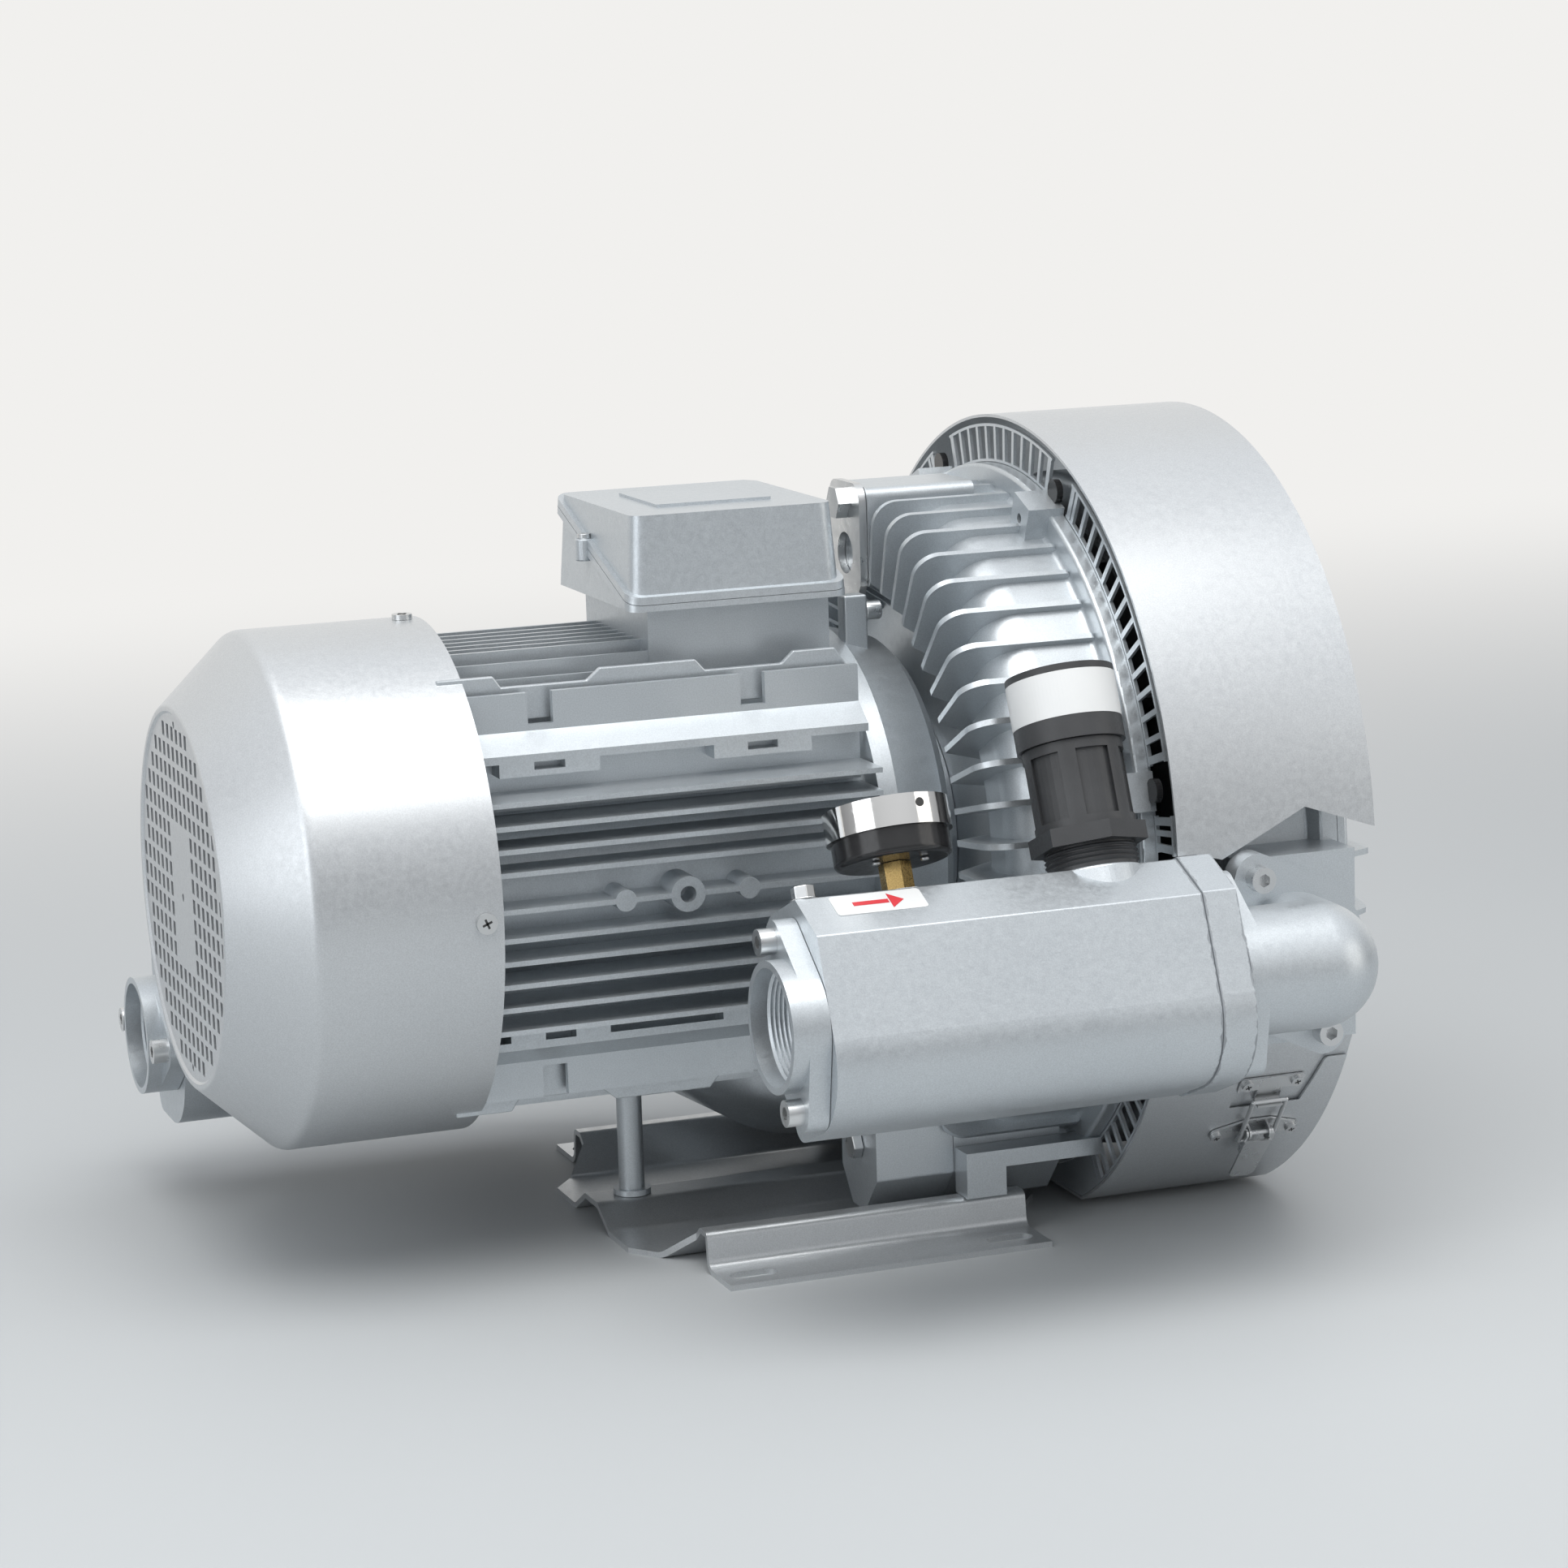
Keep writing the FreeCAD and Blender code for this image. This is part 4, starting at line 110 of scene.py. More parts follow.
def mixColour(tree, factor, a, b):
    node = tree.nodes.new("ShaderNodeMix")
    node.data_type = "RGBA"
    for place, value in ((0, factor), (6, a), (7, b)):
        feed(tree, node.inputs[place], value)
    return node.outputs[2]


flakeLook = {"driftSize": 9.0, "flakeSize": 1500.0, "skinSize": 320.0, "driftAmount": 0.35,
             "sparkle": (0.93, 1.07), "roughSpread": (-0.05, 0.07), "flakeHeight": 0.25}


def makePaintGroup():
    # metal flake paint: slow drift of tone, flakes and a fine skin
    tree, gin, gout = newGroup("flakePaint", [
        ("Vector", "NodeSocketVector", None),
        ("Colour", "NodeSocketColor", (0.7, 0.7, 0.7, 1)),
        ("Shadow Colour", "NodeSocketColor", (0.4, 0.4, 0.4, 1)),
        ("Grain", "NodeSocketFloat", 0.5),
        ("Roughness", "NodeSocketFloat", 0.4)],
        [("Colour", "NodeSocketColor"), ("Roughness", "NodeSocketFloat"), ("Height", "NodeSocketFloat")])
    vector = gin.outputs["Vector"]
    drift = noise(tree, vector, flakeLook["driftSize"], 4.0)
    flake = noise(tree, vector, flakeLook["flakeSize"], 1.0, 0.4)
    skin = noise(tree, vector, flakeLook["skinSize"], 3.0, 0.6)
    shade = ramp(tree, drift, 0.35, 0.75, 0.0, flakeLook["driftAmount"])
    tone = mixColour(tree, shade, gin.outputs["Colour"], gin.outputs["Shadow Colour"])
    lit = tree.nodes.new("ShaderNodeVectorMath")
    lit.operation = "SCALE"
    tree.links.new(tone, lit.inputs[0])
    tree.links.new(ramp(tree, flake, 0.3, 0.72, *flakeLook["sparkle"]), lit.inputs["Scale"])
    tree.links.new(lit.outputs[0], gout.inputs["Colour"])
    spread = ramp(tree, skin, 0.3, 0.7, *flakeLook["roughSpread"])
    tree.links.new(maths(tree, "ADD", gin.outputs["Roughness"], spread), gout.inputs["Roughness"])
    fine = maths(tree, "MULTIPLY", skin, gin.outputs["Grain"])
    coarse = maths(tree, "MULTIPLY", flake, flakeLook["flakeHeight"])
    tree.links.new(maths(tree, "ADD", fine, coarse), gout.inputs["Height"])
    return tree


def makeWearGroup():
    # faint handling marks and scuffs as a mask
    tree, gin, gout = newGroup("handlingMarks", [
        ("Vector", "NodeSocketVector", None),
        ("Size", "NodeSocketFloat", 40.0),
        ("Amount", "NodeSocketFloat", 0.3)],
        [("Mask", "NodeSocketFloat")])
    stretch = tree.nodes.new("ShaderNodeMapping")
    stretch.inputs["Scale"].default_value = (1.0, 3.0, 0.6)
    tree.links.new(gin.outputs["Vector"], stretch.inputs["Vector"])
    mark = noise(tree, stretch.outputs["Vector"], gin.outputs["Size"], 6.0, 0.7)
    mask = ramp(tree, mark, 0.58, 0.72)
    tree.links.new(maths(tree, "MULTIPLY", mask, gin.outputs["Amount"]), gout.inputs["Mask"])
    return tree


paint = makePaintGroup()
marks = makeWearGroup()


def finish(name):
    material = bpy.data.materials.new(name)
    material.use_nodes = True
    tree = material.node_tree
    shader = tree.nodes["Principled BSDF"]
    coords = tree.nodes.new("ShaderNodeTexCoord").outputs["Object"]
    return material, tree, shader, coords


def useGroup(tree, group, coords, **values):
    node = tree.nodes.new("ShaderNodeGroup")
    node.node_tree = group
    tree.links.new(coords, node.inputs["Vector"])
    for key, value in values.items():
        node.inputs[key.replace("_", " ")].default_value = value
    return node


def bump(tree, shader, height, strength, distance=0.0006):
    node = tree.nodes.new("ShaderNodeBump")
    node.inputs["Strength"].default_value = strength
    node.inputs["Distance"].default_value = distance
    tree.links.new(height, node.inputs["Height"])
    tree.links.new(node.outputs["Normal"], shader.inputs["Normal"])


paintLooks = {
    "castSilver": {"colour": (0.56, 0.595, 0.62, 1), "shadow": (0.46, 0.495, 0.525, 1),
                   "rough": 0.38, "grain": 0.9, "metal": 0.78, "coat": 0.12, "bump": 0.10},
    "sheetSilver": {"colour": (0.58, 0.60, 0.615, 1), "shadow": (0.52, 0.54, 0.56, 1),
                    "rough": 0.36, "grain": 0.35, "metal": 0.78, "coat": 0.2, "bump": 0.012},
    "castImpeller": {"colour": (0.50, 0.50, 0.51, 1), "shadow": (0.38, 0.38, 0.39, 1),
                     "rough": 0.46, "grain": 1.0, "metal": 0.9, "coat": 0.0, "bump": 0.3},
}
scuffLook = {"size": 55.0, "amount": 0.10, "shade": 0.82, "coatRough": 0.22}


def makePaint(name, look):
    material, tree, shader, coords = finish(name)
    node = useGroup(tree, paint, coords, Colour=look["colour"], Shadow_Colour=look["shadow"],
                    Grain=look["grain"], Roughness=look["rough"])
    scuff = useGroup(tree, marks, coords, Size=scuffLook["size"], Amount=scuffLook["amount"])
    worn = scaled(look["colour"], scuffLook["shade"])
    colour = mixColour(tree, scuff.outputs["Mask"], node.outputs["Colour"], worn)
    tree.links.new(colour, shader.inputs["Base Color"])
    tree.links.new(node.outputs["Roughness"], shader.inputs["Roughness"])
    shader.inputs["Metallic"].default_value = look["metal"]
    shader.inputs["Coat Weight"].default_value = look["coat"]
    shader.inputs["Coat Roughness"].default_value = scuffLook["coatRough"]
    bump(tree, shader, node.outputs["Height"], look["bump"])
    return material


finishes = {name: makePaint(name, look) for name, look in paintLooks.items()}

# joints of the two silencers along x, and the bead of sealant on them
seams = {"places": (0.1192, 0.1372, -0.1038, -0.0861), "half": 0.0011, "thin": 0.35, "thick": 1.7, "wander": 0.0016,
         "edge": 0.0004, "grey": (0.27, 0.29, 0.31, 1), "rougher": 0.25, "height": 1.6}


def makeSealedPaint():
    # the casting paint with a hand-laid bead of grey sealant along each joint
    look = paintLooks["castSilver"]
    material = makePaint("sealedSilver", look)
    tree = material.node_tree
    shader = tree.nodes["Principled BSDF"]
    coords = next(n for n in tree.nodes if n.type == "TEX_COORD").outputs["Object"]
    split = tree.nodes.new("ShaderNodeSeparateXYZ")
    tree.links.new(coords, split.inputs[0])
    wander = noise(tree, coords, 60.0, 3.0, 0.6)
    shift = ramp(tree, wander, 0.3, 0.7, -seams["wander"] / 2, seams["wander"] / 2)
    moved = maths(tree, "ADD", split.outputs["X"], shift)
    lumps = noise(tree, coords, 150.0, 2.0, 0.5)
    width = ramp(tree, lumps, 0.3, 0.7, seams["half"] * seams["thin"], seams["half"] * seams["thick"])
    mask = 0.0
    for place in seams["places"]:
        gap = maths(tree, "ABSOLUTE", maths(tree, "SUBTRACT", moved, place))
        near = maths(tree, "SUBTRACT", width, gap)
        mask = maths(tree, "MAXIMUM", mask, ramp(tree, near, 0.0, seams["edge"]))
    painted = shader.inputs["Base Color"].links[0].from_socket
    tree.links.new(mixColour(tree, mask, painted, seams["grey"]), shader.inputs["Base Color"])
    rough = shader.inputs["Roughness"].links[0].from_socket
    rougher = maths(tree, "MULTIPLY", mask, seams["rougher"])
    tree.links.new(maths(tree, "ADD", rough, rougher), shader.inputs["Roughness"])
    bare = maths(tree, "SUBTRACT", 1.0, mask)
    tree.links.new(maths(tree, "MULTIPLY", bare, look["metal"]), shader.inputs["Metallic"])
    grain = next(n for n in tree.nodes if n.type == "BUMP")
    height = grain.inputs["Height"].links[0].from_socket
    raised = maths(tree, "MULTIPLY", mask, seams["height"])
    tree.links.new(maths(tree, "ADD", height, raised), grain.inputs["Height"])
    return material


finishes["sealedSilver"] = makeSealedPaint()

plainLooks = {
    "zincPlate": {"colour": (0.70, 0.71, 0.71, 1), "dark": (0.58, 0.59, 0.60, 1),
                  "rough": 0.30, "metal": 1.0, "size": 40.0, "bump": 0.004},
    "steelBare": {"colour": (0.50, 0.50, 0.50, 1), "dark": (0.32, 0.32, 0.33, 1),
                  "rough": 0.32, "metal": 1.0, "size": 160.0, "bump": 0.12},
    "lamination": {"colour": (0.16, 0.16, 0.17, 1), "dark": (0.08, 0.08, 0.09, 1),
                   "rough": 0.55, "metal": 0.8, "size": 300.0, "bump": 0.3},
    "copperWire": {"colour": (0.55, 0.25, 0.11, 1), "dark": (0.30, 0.12, 0.06, 1),
                   "rough": 0.35, "metal": 1.0, "size": 260.0, "bump": 0.4},
    "blackPlastic": {"colour": (0.028, 0.029, 0.031, 1), "dark": (0.045, 0.047, 0.05, 1),
                     "rough": 0.42, "metal": 0.0, "size": 180.0, "bump": 0.12},
    "blackLacquer": {"colour": (0.012, 0.012, 0.013, 1), "dark": (0.03, 0.03, 0.03, 1),
                     "rough": 0.18, "metal": 0.0, "size": 90.0, "bump": 0.04},
    "chromePlate": {"colour": (0.78, 0.77, 0.75, 1), "dark": (0.62, 0.61, 0.60, 1),
                    "rough": 0.07, "metal": 1.0, "size": 60.0, "bump": 0.02},
    "turnedBrass": {"colour": (0.60, 0.42, 0.17, 1), "dark": (0.40, 0.27, 0.10, 1),
                    "rough": 0.27, "metal": 1.0, "size": 240.0, "bump": 0.10},
    "dialCard": {"colour": (0.83, 0.83, 0.81, 1), "dark": (0.76, 0.76, 0.74, 1),
                 "rough": 0.5, "metal": 0.0, "size": 90.0, "bump": 0.02},
    "paperLabel": {"colour": (0.68, 0.69, 0.69, 1), "dark": (0.61, 0.62, 0.62, 1),
                   "rough": 0.38, "metal": 0.0, "size": 120.0, "bump": 0.04},
    "redInk": {"colour": (0.62, 0.04, 0.05, 1), "dark": (0.48, 0.03, 0.04, 1),
               "rough": 0.4, "metal": 0.0, "size": 120.0, "bump": 0.02},
    # near-black for the dial's printed ticks and numbers, and also painted shade in the screws' cross recesses and the
    # bezel's hole
    "blackInkAndPaintedShade": {"colour": (0.03, 0.03, 0.03, 1), "dark": (0.05, 0.05, 0.05, 1),
                 "rough": 0.5, "metal": 0.0, "size": 120.0, "bump": 0.02},
    "linerFelt": {"colour": (0.10, 0.10, 0.10, 1), "dark": (0.05, 0.05, 0.05, 1),
                  "rough": 0.9, "metal": 0.0, "size": 420.0, "bump": 0.8},
    "terminalBlock": {"colour": (0.20, 0.10, 0.05, 1), "dark": (0.12, 0.06, 0.03, 1),
                      "rough": 0.5, "metal": 0.0, "size": 200.0, "bump": 0.1},
}
plainGrain = {"blotch": 0.15, "fine": 4, "darkest": 0.7, "smoother": 0.06, "rougher": 0.08, "smoothest": 0.02, "depth": 0.0004}


def makePlain(name, look):
    material, tree, shader, coords = finish(name)
    blotch = noise(tree, coords, look["size"] * plainGrain["blotch"], 4.0)
    fine = noise(tree, coords, look["size"] * plainGrain["fine"], 3.0, 0.6)
    shade = ramp(tree, blotch, 0.35, 0.7, 0.0, plainGrain["darkest"])
    tree.links.new(mixColour(tree, shade, look["colour"], look["dark"]), shader.inputs["Base Color"])
    smooth = max(plainGrain["smoothest"], look["rough"] - plainGrain["smoother"])
    rough = ramp(tree, fine, 0.3, 0.7, smooth, look["rough"] + plainGrain["rougher"])
    tree.links.new(rough, shader.inputs["Roughness"])
    shader.inputs["Metallic"].default_value = look["metal"]
    bump(tree, shader, fine, look["bump"], plainGrain["depth"])
    return material


for name, look in plainLooks.items():
    finishes[name] = makePlain(name, look)

glassLook = {"colour": (0.97, 0.98, 0.98, 1), "bend": 1.45, "smearSize": 70.0, "rough": (0.01, 0.06)}


def makeGlass():
    material, tree, shader, coords = finish("gaugeGlass")
    shader.inputs["Base Color"].default_value = glassLook["colour"]
    shader.inputs["Transmission Weight"].default_value = 1.0
    shader.inputs["IOR"].default_value = glassLook["bend"]
    smear = noise(tree, coords, glassLook["smearSize"], 4.0)
    tree.links.new(ramp(tree, smear, 0.35, 0.75, *glassLook["rough"]), shader.inputs["Roughness"])
    return material


finishes["clearGlass"] = makeGlass()
print("finishes:", len(finishes))

# which finish each CAD slot takes
slotFinish = {
    "silver_casting": "castSilver", "silver_sheet": "sheetSilver", "steel": "steelBare",
    "lamination": "lamination", "copper": "copperWire", "zinc": "zincPlate",
    "impeller_aluminium": "castImpeller", "black_plastic": "blackPlastic", "black_gloss": "blackLacquer",
    "chrome": "chromePlate", "brass": "turnedBrass", "dial_white": "dialCard",
    "glass": "clearGlass", "liner_foam": "linerFelt", "terminal_plastic": "terminalBlock",
}
sealedNodes = ("near_silencer", "far_silencer", "silencer_end_flanges", "near_elbow", "far_bend")
for entry in frame["record"]["subparts"]:
    part = nodes[entry["node"]]
    look = finishes[slotFinish[entry["material_slot"]]]
    if not part.material_slots:
        part.data.materials.append(look)
    for place in part.material_slots:
        place.material = look
for name in sealedNodes:
    for place in nodes[name].material_slots:
        place.material = finishes["sealedSilver"]
print("CAD nodes dressed")


# pieces modelled here, in metres

# the near silencer's flat top and what stands on it, in millimetres
nearTop = {"y": -250.0, "z": 159.0, "rise": 58.0}
valveSpot = (81.5, 6.0)
gaugeSpot = (-17.5, 14.0)


def standing(x, across, rise):
    # a frame on the near silencer, z outwards: along it, across it and above its flat top, in millimetres
    side = Vector((0, math.cos(tilt), -math.sin(tilt)))
    up = Vector((0, math.sin(tilt), math.cos(tilt)))
    place = (Vector((x, nearTop["y"], nearTop["z"])) + side * across + up * (nearTop["rise"] + rise)) / 1000.0
    turn = Matrix((Vector((1, 0, 0)), side, up)).transposed().to_4x4()
    return Matrix.Translation(place) @ turn


def radial(x, degrees, radius):
    # a frame on the blower's round: z outwards, degrees from the top towards the near side
    turn = Matrix.Rotation(math.radians(degrees), 4, "X")
    return Matrix.Translation((x, 0, axisZ)) @ turn @ Matrix.Translation((0, 0, radius))


def addPiece(name, bm, look, body="frame", place=None, smooth=False):
    if place is not None:
        bmesh.ops.transform(bm, matrix=place, verts=bm.verts)
    mesh = bpy.data.meshes.new(name)
    bm.to_mesh(mesh)
    bm.free()
    for face in mesh.polygons:
        face.use_smooth = smooth
    piece = bpy.data.objects.new(name, mesh)
    scene.collection.objects.link(piece)
    mesh.materials.append(finishes[look])
    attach(piece, body)
    return piece


def block(bm, size, centre, turn=None):
    out = bmesh.ops.create_cube(bm, size=1.0)
    bmesh.ops.scale(bm, vec=size, verts=out["verts"])
    if turn is not None:
        bmesh.ops.transform(bm, matrix=turn, verts=out["verts"])
    bmesh.ops.translate(bm, vec=centre, verts=out["verts"])
    return out["verts"]


def drum(bm, radius, height, centre, sides=32, top=None):
    # an upright round standing on its centre point
    out = bmesh.ops.create_cone(bm, cap_ends=True, segments=sides, radius1=radius,
                                radius2=radius if top is None else top, depth=height)
    bmesh.ops.translate(bm, vec=(centre[0], centre[1], centre[2] + height / 2), verts=out["verts"])
    return out["verts"]


def softEdges(bm, width, segments=2):
    edges = [e for e in bm.edges if len(e.link_faces) == 2 and e.calc_face_angle(0) > sharpAngle]
    bmesh.ops.bevel(bm, geom=edges, offset=width, offset_type="OFFSET", affect="EDGES",
                    segments=segments, profile=0.5, material=-1)


def openEdges(bm):
    return [e for e in bm.edges if len(e.link_faces) == 1]


cover = {"end": -0.323, "shoulder": -0.285, "rim": -0.192, "radius": 0.1326, "endRadius": 0.0976, "sheet": 0.002,
         "dish": 0.0012, "dishRadius": 0.0936, "dishSlope": 0.0012, "inset": 0.001,
         "shoulderRound": 0.009, "endRound": 0.0022, "innerRound": 0.007,
         "pitch": 0.0104, "slotWidth": 0.0052, "slotHeight": 0.0074, "cut": 0.012,
         "field": 0.0925, "rows": 8, "plainRows": 3, "plainHalf": 0.020,
         "holes": ((0.0, 0.0021), (0.0885, 0.0019), (-0.0885, 0.0019))}


def roundCorner(points, index, radius, steps):
    # one corner of an open outline turned into a short arc
    before, corner, after = Vector(points[index - 1]), Vector(points[index]), Vector(points[index + 1])
    a, b = (before - corner).normalized(), (after - corner).normalized()
    half = a.angle(b) / 2
    reach = radius / math.tan(half)
    centre = corner + (a + b).normalized() * (radius / math.sin(half))
    first, last = (corner + a * reach - centre).normalized(), (corner + b * reach - centre).normalized()
    arc = [tuple(centre + first.slerp(last, i / steps) * radius) for i in range(steps + 1)]
    return points[:index] + arc + points[index + 1:]


def coverOutline():
    end, shoulder, rim, sheet, inset = (cover[key] for key in ("end", "shoulder", "rim", "sheet", "inset"))
    deep = end + cover["dish"]
    outer = [(deep, 0.0, 0.0), (deep, 0.0, cover["dishRadius"]), (end, 0.0, cover["dishRadius"] + cover["dishSlope"]),
             (end, 0.0, cover["endRadius"]), (shoulder, 0.0, cover["radius"]), (rim, 0.0, cover["radius"])]
    outer = roundCorner(outer, 4, cover["shoulderRound"], 8)
    outer = roundCorner(outer, 3, cover["endRound"], 4)
    inner = [(rim, 0.0, cover["radius"] - sheet), (shoulder + inset, 0.0, cover["radius"] - sheet),
             (end + sheet, 0.0, cover["endRadius"] - inset), (deep + sheet, 0.0, cover["dishRadius"] - inset),
             (deep + sheet, 0.0, 0.0)]
    return outer + roundCorner(inner, 1, cover["innerRound"], 6)


def grilleCutters():
    bm = bmesh.new()
    pitch, wide, high, cut = (cover[key] for key in ("pitch", "slotWidth", "slotHeight", "cut"))
    for row in range(-cover["rows"], cover["rows"] + 1):
        for column in range(-cover["rows"] - 1, cover["rows"] + 1):
            y, z = (column + 0.5) * pitch, row * pitch
            inside = math.hypot(abs(y) + wide / 2, abs(z) + high / 2) <= cover["field"]
            plain = abs(row) <= cover["plainRows"] and abs(y) < cover["plainHalf"]
            if inside and not plain:
                block(bm, (cut, wide, high), (cover["end"], y, axisZ + z))
    turn = Matrix.Rotation(math.pi / 2, 4, "Y")
    for z, radius in cover["holes"]:
        made = drum(bm, radius, cut, (0, 0, -cut / 2), 20)
        bmesh.ops.transform(bm, matrix=Matrix.Translation((cover["end"], 0, axisZ + z)) @ turn, verts=made)
    mesh = bpy.data.meshes.new("grilleCutters")
    bm.to_mesh(mesh)
    bm.free()
    return bpy.data.objects.new("grilleCutters", mesh)


def makeFanCover():
    # pressed hood with a slightly sunk grille of upright slots
    bm = bmesh.new()
    corners = [bm.verts.new(p) for p in coverOutline()]
    wall = [bm.edges.new((corners[i], corners[i + 1])) for i in range(len(corners) - 1)]
    bmesh.ops.spin(bm, geom=corners + wall, cent=(0, 0, 0), axis=(1, 0, 0), angle=2 * math.pi, steps=128, use_merge=True)
    bmesh.ops.remove_doubles(bm, verts=bm.verts, dist=0.00001)
    bmesh.ops.recalc_face_normals(bm, faces=bm.faces)
    piece = addPiece("slottedFanCover", bm, "sheetSilver", place=Matrix.Translation((0, 0, axisZ)))
    cutters = grilleCutters()
    scene.collection.objects.link(cutters)
    slots = piece.modifiers.new("slots", "BOOLEAN")
    slots.operation = "DIFFERENCE"
    slots.solver = "EXACT"
    slots.object = cutters
    graph = bpy.context.evaluated_depsgraph_get()
    cutMesh = bpy.data.meshes.new_from_object(piece.evaluated_get(graph), depsgraph=graph)
    piece.modifiers.clear()
    piece.data = cutMesh
    bpy.data.objects.remove(cutters)
    bm = bmesh.new()
    bm.from_mesh(cutMesh)
    for face in bm.faces:
        face.smooth = True
    for edge in bm.edges:
        edge.smooth = len(edge.link_faces) == 2 and edge.calc_face_angle(0) < sharpAngle
    bm.to_mesh(cutMesh)
    bm.free()
    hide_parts("fan_cover")
    print("fan cover:", len(cutMesh.polygons), "faces")


# each field runs from one angle to the other, from the top towards the near side
airGrid = {"x": 0.130, "floor": 0.0064, "sheet": 0.002, "inner": 0.1904, "innerRim": 0.1918, "outerRim": 0.2092,
           "outer": 0.2107, "pitch": 360 / 106, "bar": 0.0029, "barInset": 0.0002, "overlap": 0.001,
           "endBar": 1.4, "endStep": 0.8, "firstStep": 1.6, "arcStep": 2,
           "fields": ((-19.4, 19.4), (26.7, 73.3), (80.7, 86.2), (116.2, 148.0), (212.0, 279.3), (286.7, 333.3)),
           "plain": ((148.0, 212.0),)}


def ringSector(bm, low, high, start, end):
    # a flat band between two radii, from one angle to the other
    x, sheet = airGrid["x"], airGrid["sheet"]
    section = [bm.verts.new(p) for p in ((x, 0, low), (x + sheet, 0, low), (x + sheet, 0, high), (x, 0, high))]
    sides = [bm.edges.new((section[i - 1], section[i])) for i in range(4)]
    bmesh.ops.rotate(bm, cent=(0, 0, 0), matrix=Matrix.Rotation(math.radians(start), 3, "X"), verts=section)
    bmesh.ops.spin(bm, geom=section + sides, cent=(0, 0, 0), axis=(1, 0, 0), angle=math.radians(end - start),
                   steps=max(2, int((end - start) / airGrid["arcStep"])), use_merge=False)


def barAngles(start, end):
    pitch, clear = airGrid["pitch"], airGrid["firstStep"]
    angles = [(i + 0.5) * pitch for i in range(math.ceil(start / pitch - 0.5), math.ceil(end / pitch + 0.5))]
    return [angle for angle in angles if start + clear < angle < end - clear]


def makeAirGrid():
    # ring of slots between the stage's rim and the shroud, cut level at the shroud's floor
    bm = bmesh.new()
    for start, end in airGrid["fields"]:
        ringSector(bm, airGrid["inner"], airGrid["innerRim"], start, end)
        ringSector(bm, airGrid["outerRim"], airGrid["outer"], start, end)
    for start, end in airGrid["plain"]:
        ringSector(bm, airGrid["inner"], airGrid["outer"], start, end)
    bmesh.ops.bisect_plane(bm, geom=bm.verts[:] + bm.edges[:] + bm.faces[:], dist=0.000001,
                           plane_co=(0, 0, airGrid["floor"] - axisZ), plane_no=(0, 0, 1), clear_inner=True)
    bmesh.ops.holes_fill(bm, edges=openEdges(bm), sides=0)
    tall = airGrid["outerRim"] - airGrid["innerRim"] + airGrid["overlap"]
    middle = (airGrid["x"] + airGrid["sheet"] / 2, 0, (airGrid["outerRim"] + airGrid["innerRim"]) / 2)
    for start, end in airGrid["fields"]:
        bars = [(angle, airGrid["bar"]) for angle in barAngles(start, end)]
        ends = [(angle, airGrid["bar"] * airGrid["endBar"]) for angle in (start + airGrid["endStep"], end - airGrid["endStep"])]
        for angle, wide in ends[:1] + bars + ends[1:]:
            made = block(bm, (airGrid["sheet"] - airGrid["barInset"], wide, tall), middle)
            bmesh.ops.rotate(bm, cent=(0, 0, 0), matrix=Matrix.Rotation(math.radians(angle), 3, "X"), verts=made)
    bmesh.ops.recalc_face_normals(bm, faces=bm.faces)
    piece = addPiece("slottedAirGrid", bm, "castSilver", place=Matrix.Translation((0, 0, axisZ)))
    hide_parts("air_grid")


# where the rib's edge changes height along x: 1 is raised, 0 is level
steppedRib = {"rear": -0.205, "front": 0.013, "y": 0.0740, "thick": 0.0030, "edge": 0.0007,
              "root": 0.088, "level": 0.1054, "high": 0.1112, "frontDrop": 0.006,
              "steps": ((-0.205, 1), (-0.176, 1), (-0.172, 0), (-0.1275, 0), (-0.1205, 1),
                        (-0.0700, 1), (-0.0650, 0), (-0.0240, 0), (-0.0175, 1), (0.0050, 1))}


def makeSteppedRibs():
    # the rib behind each corner plate, with raised runs along its edge
    front, rear, level, root = (steppedRib[key] for key in ("front", "rear", "level", "root"))
    outline = [(x, steppedRib["high"] if up else level) for x, up in steppedRib["steps"]]
    outline += [(front, level - steppedRib["frontDrop"]), (front, root), (rear, root)]
    for sideName, sy in (("near", -1), ("far", 1)):
        for levelName, sz in (("Upper", 1), ("Lower", -1)):
            bm = bmesh.new()
            start = sy * steppedRib["y"] - steppedRib["thick"] / 2
            face = bm.faces.new([bm.verts.new((x, start, z)) for x, z in outline])
            out = bmesh.ops.extrude_face_region(bm, geom=[face])
            moved = [v for v in out["geom"] if isinstance(v, bmesh.types.BMVert)]
            bmesh.ops.translate(bm, verts=moved, vec=(0, steppedRib["thick"], 0))
            bmesh.ops.scale(bm, vec=(1, 1, sz), verts=bm.verts)
            bmesh.ops.recalc_face_normals(bm, faces=bm.faces)
            softEdges(bm, steppedRib["edge"])
            addPiece(sideName + levelName + "SteppedRib", bm, "castSilver", place=Matrix.Translation((0, 0, axisZ)))


valveSeat = {"radius": 0.0252, "top": 0.0238, "height": 0.0150, "base": -0.0148, "edge": 0.0012}


def makeValveSeat():
    # cast boss that carries the valve's neck over the silencer's long chamfer
    bm = bmesh.new()
    drum(bm, valveSeat["radius"], valveSeat["height"], (0, 0, valveSeat["base"]), 64, valveSeat["top"])
    softEdges(bm, valveSeat["edge"], 3)
    addPiece("valveSeatBoss", bm, "castSilver", place=standing(*valveSpot, 0.0))


spring = {"low": 0.0265, "high": 0.0880, "radius": 0.0108, "wire": 0.0010, "turns": 9, "stepsPerTurn": 28, "keep": 0.8}


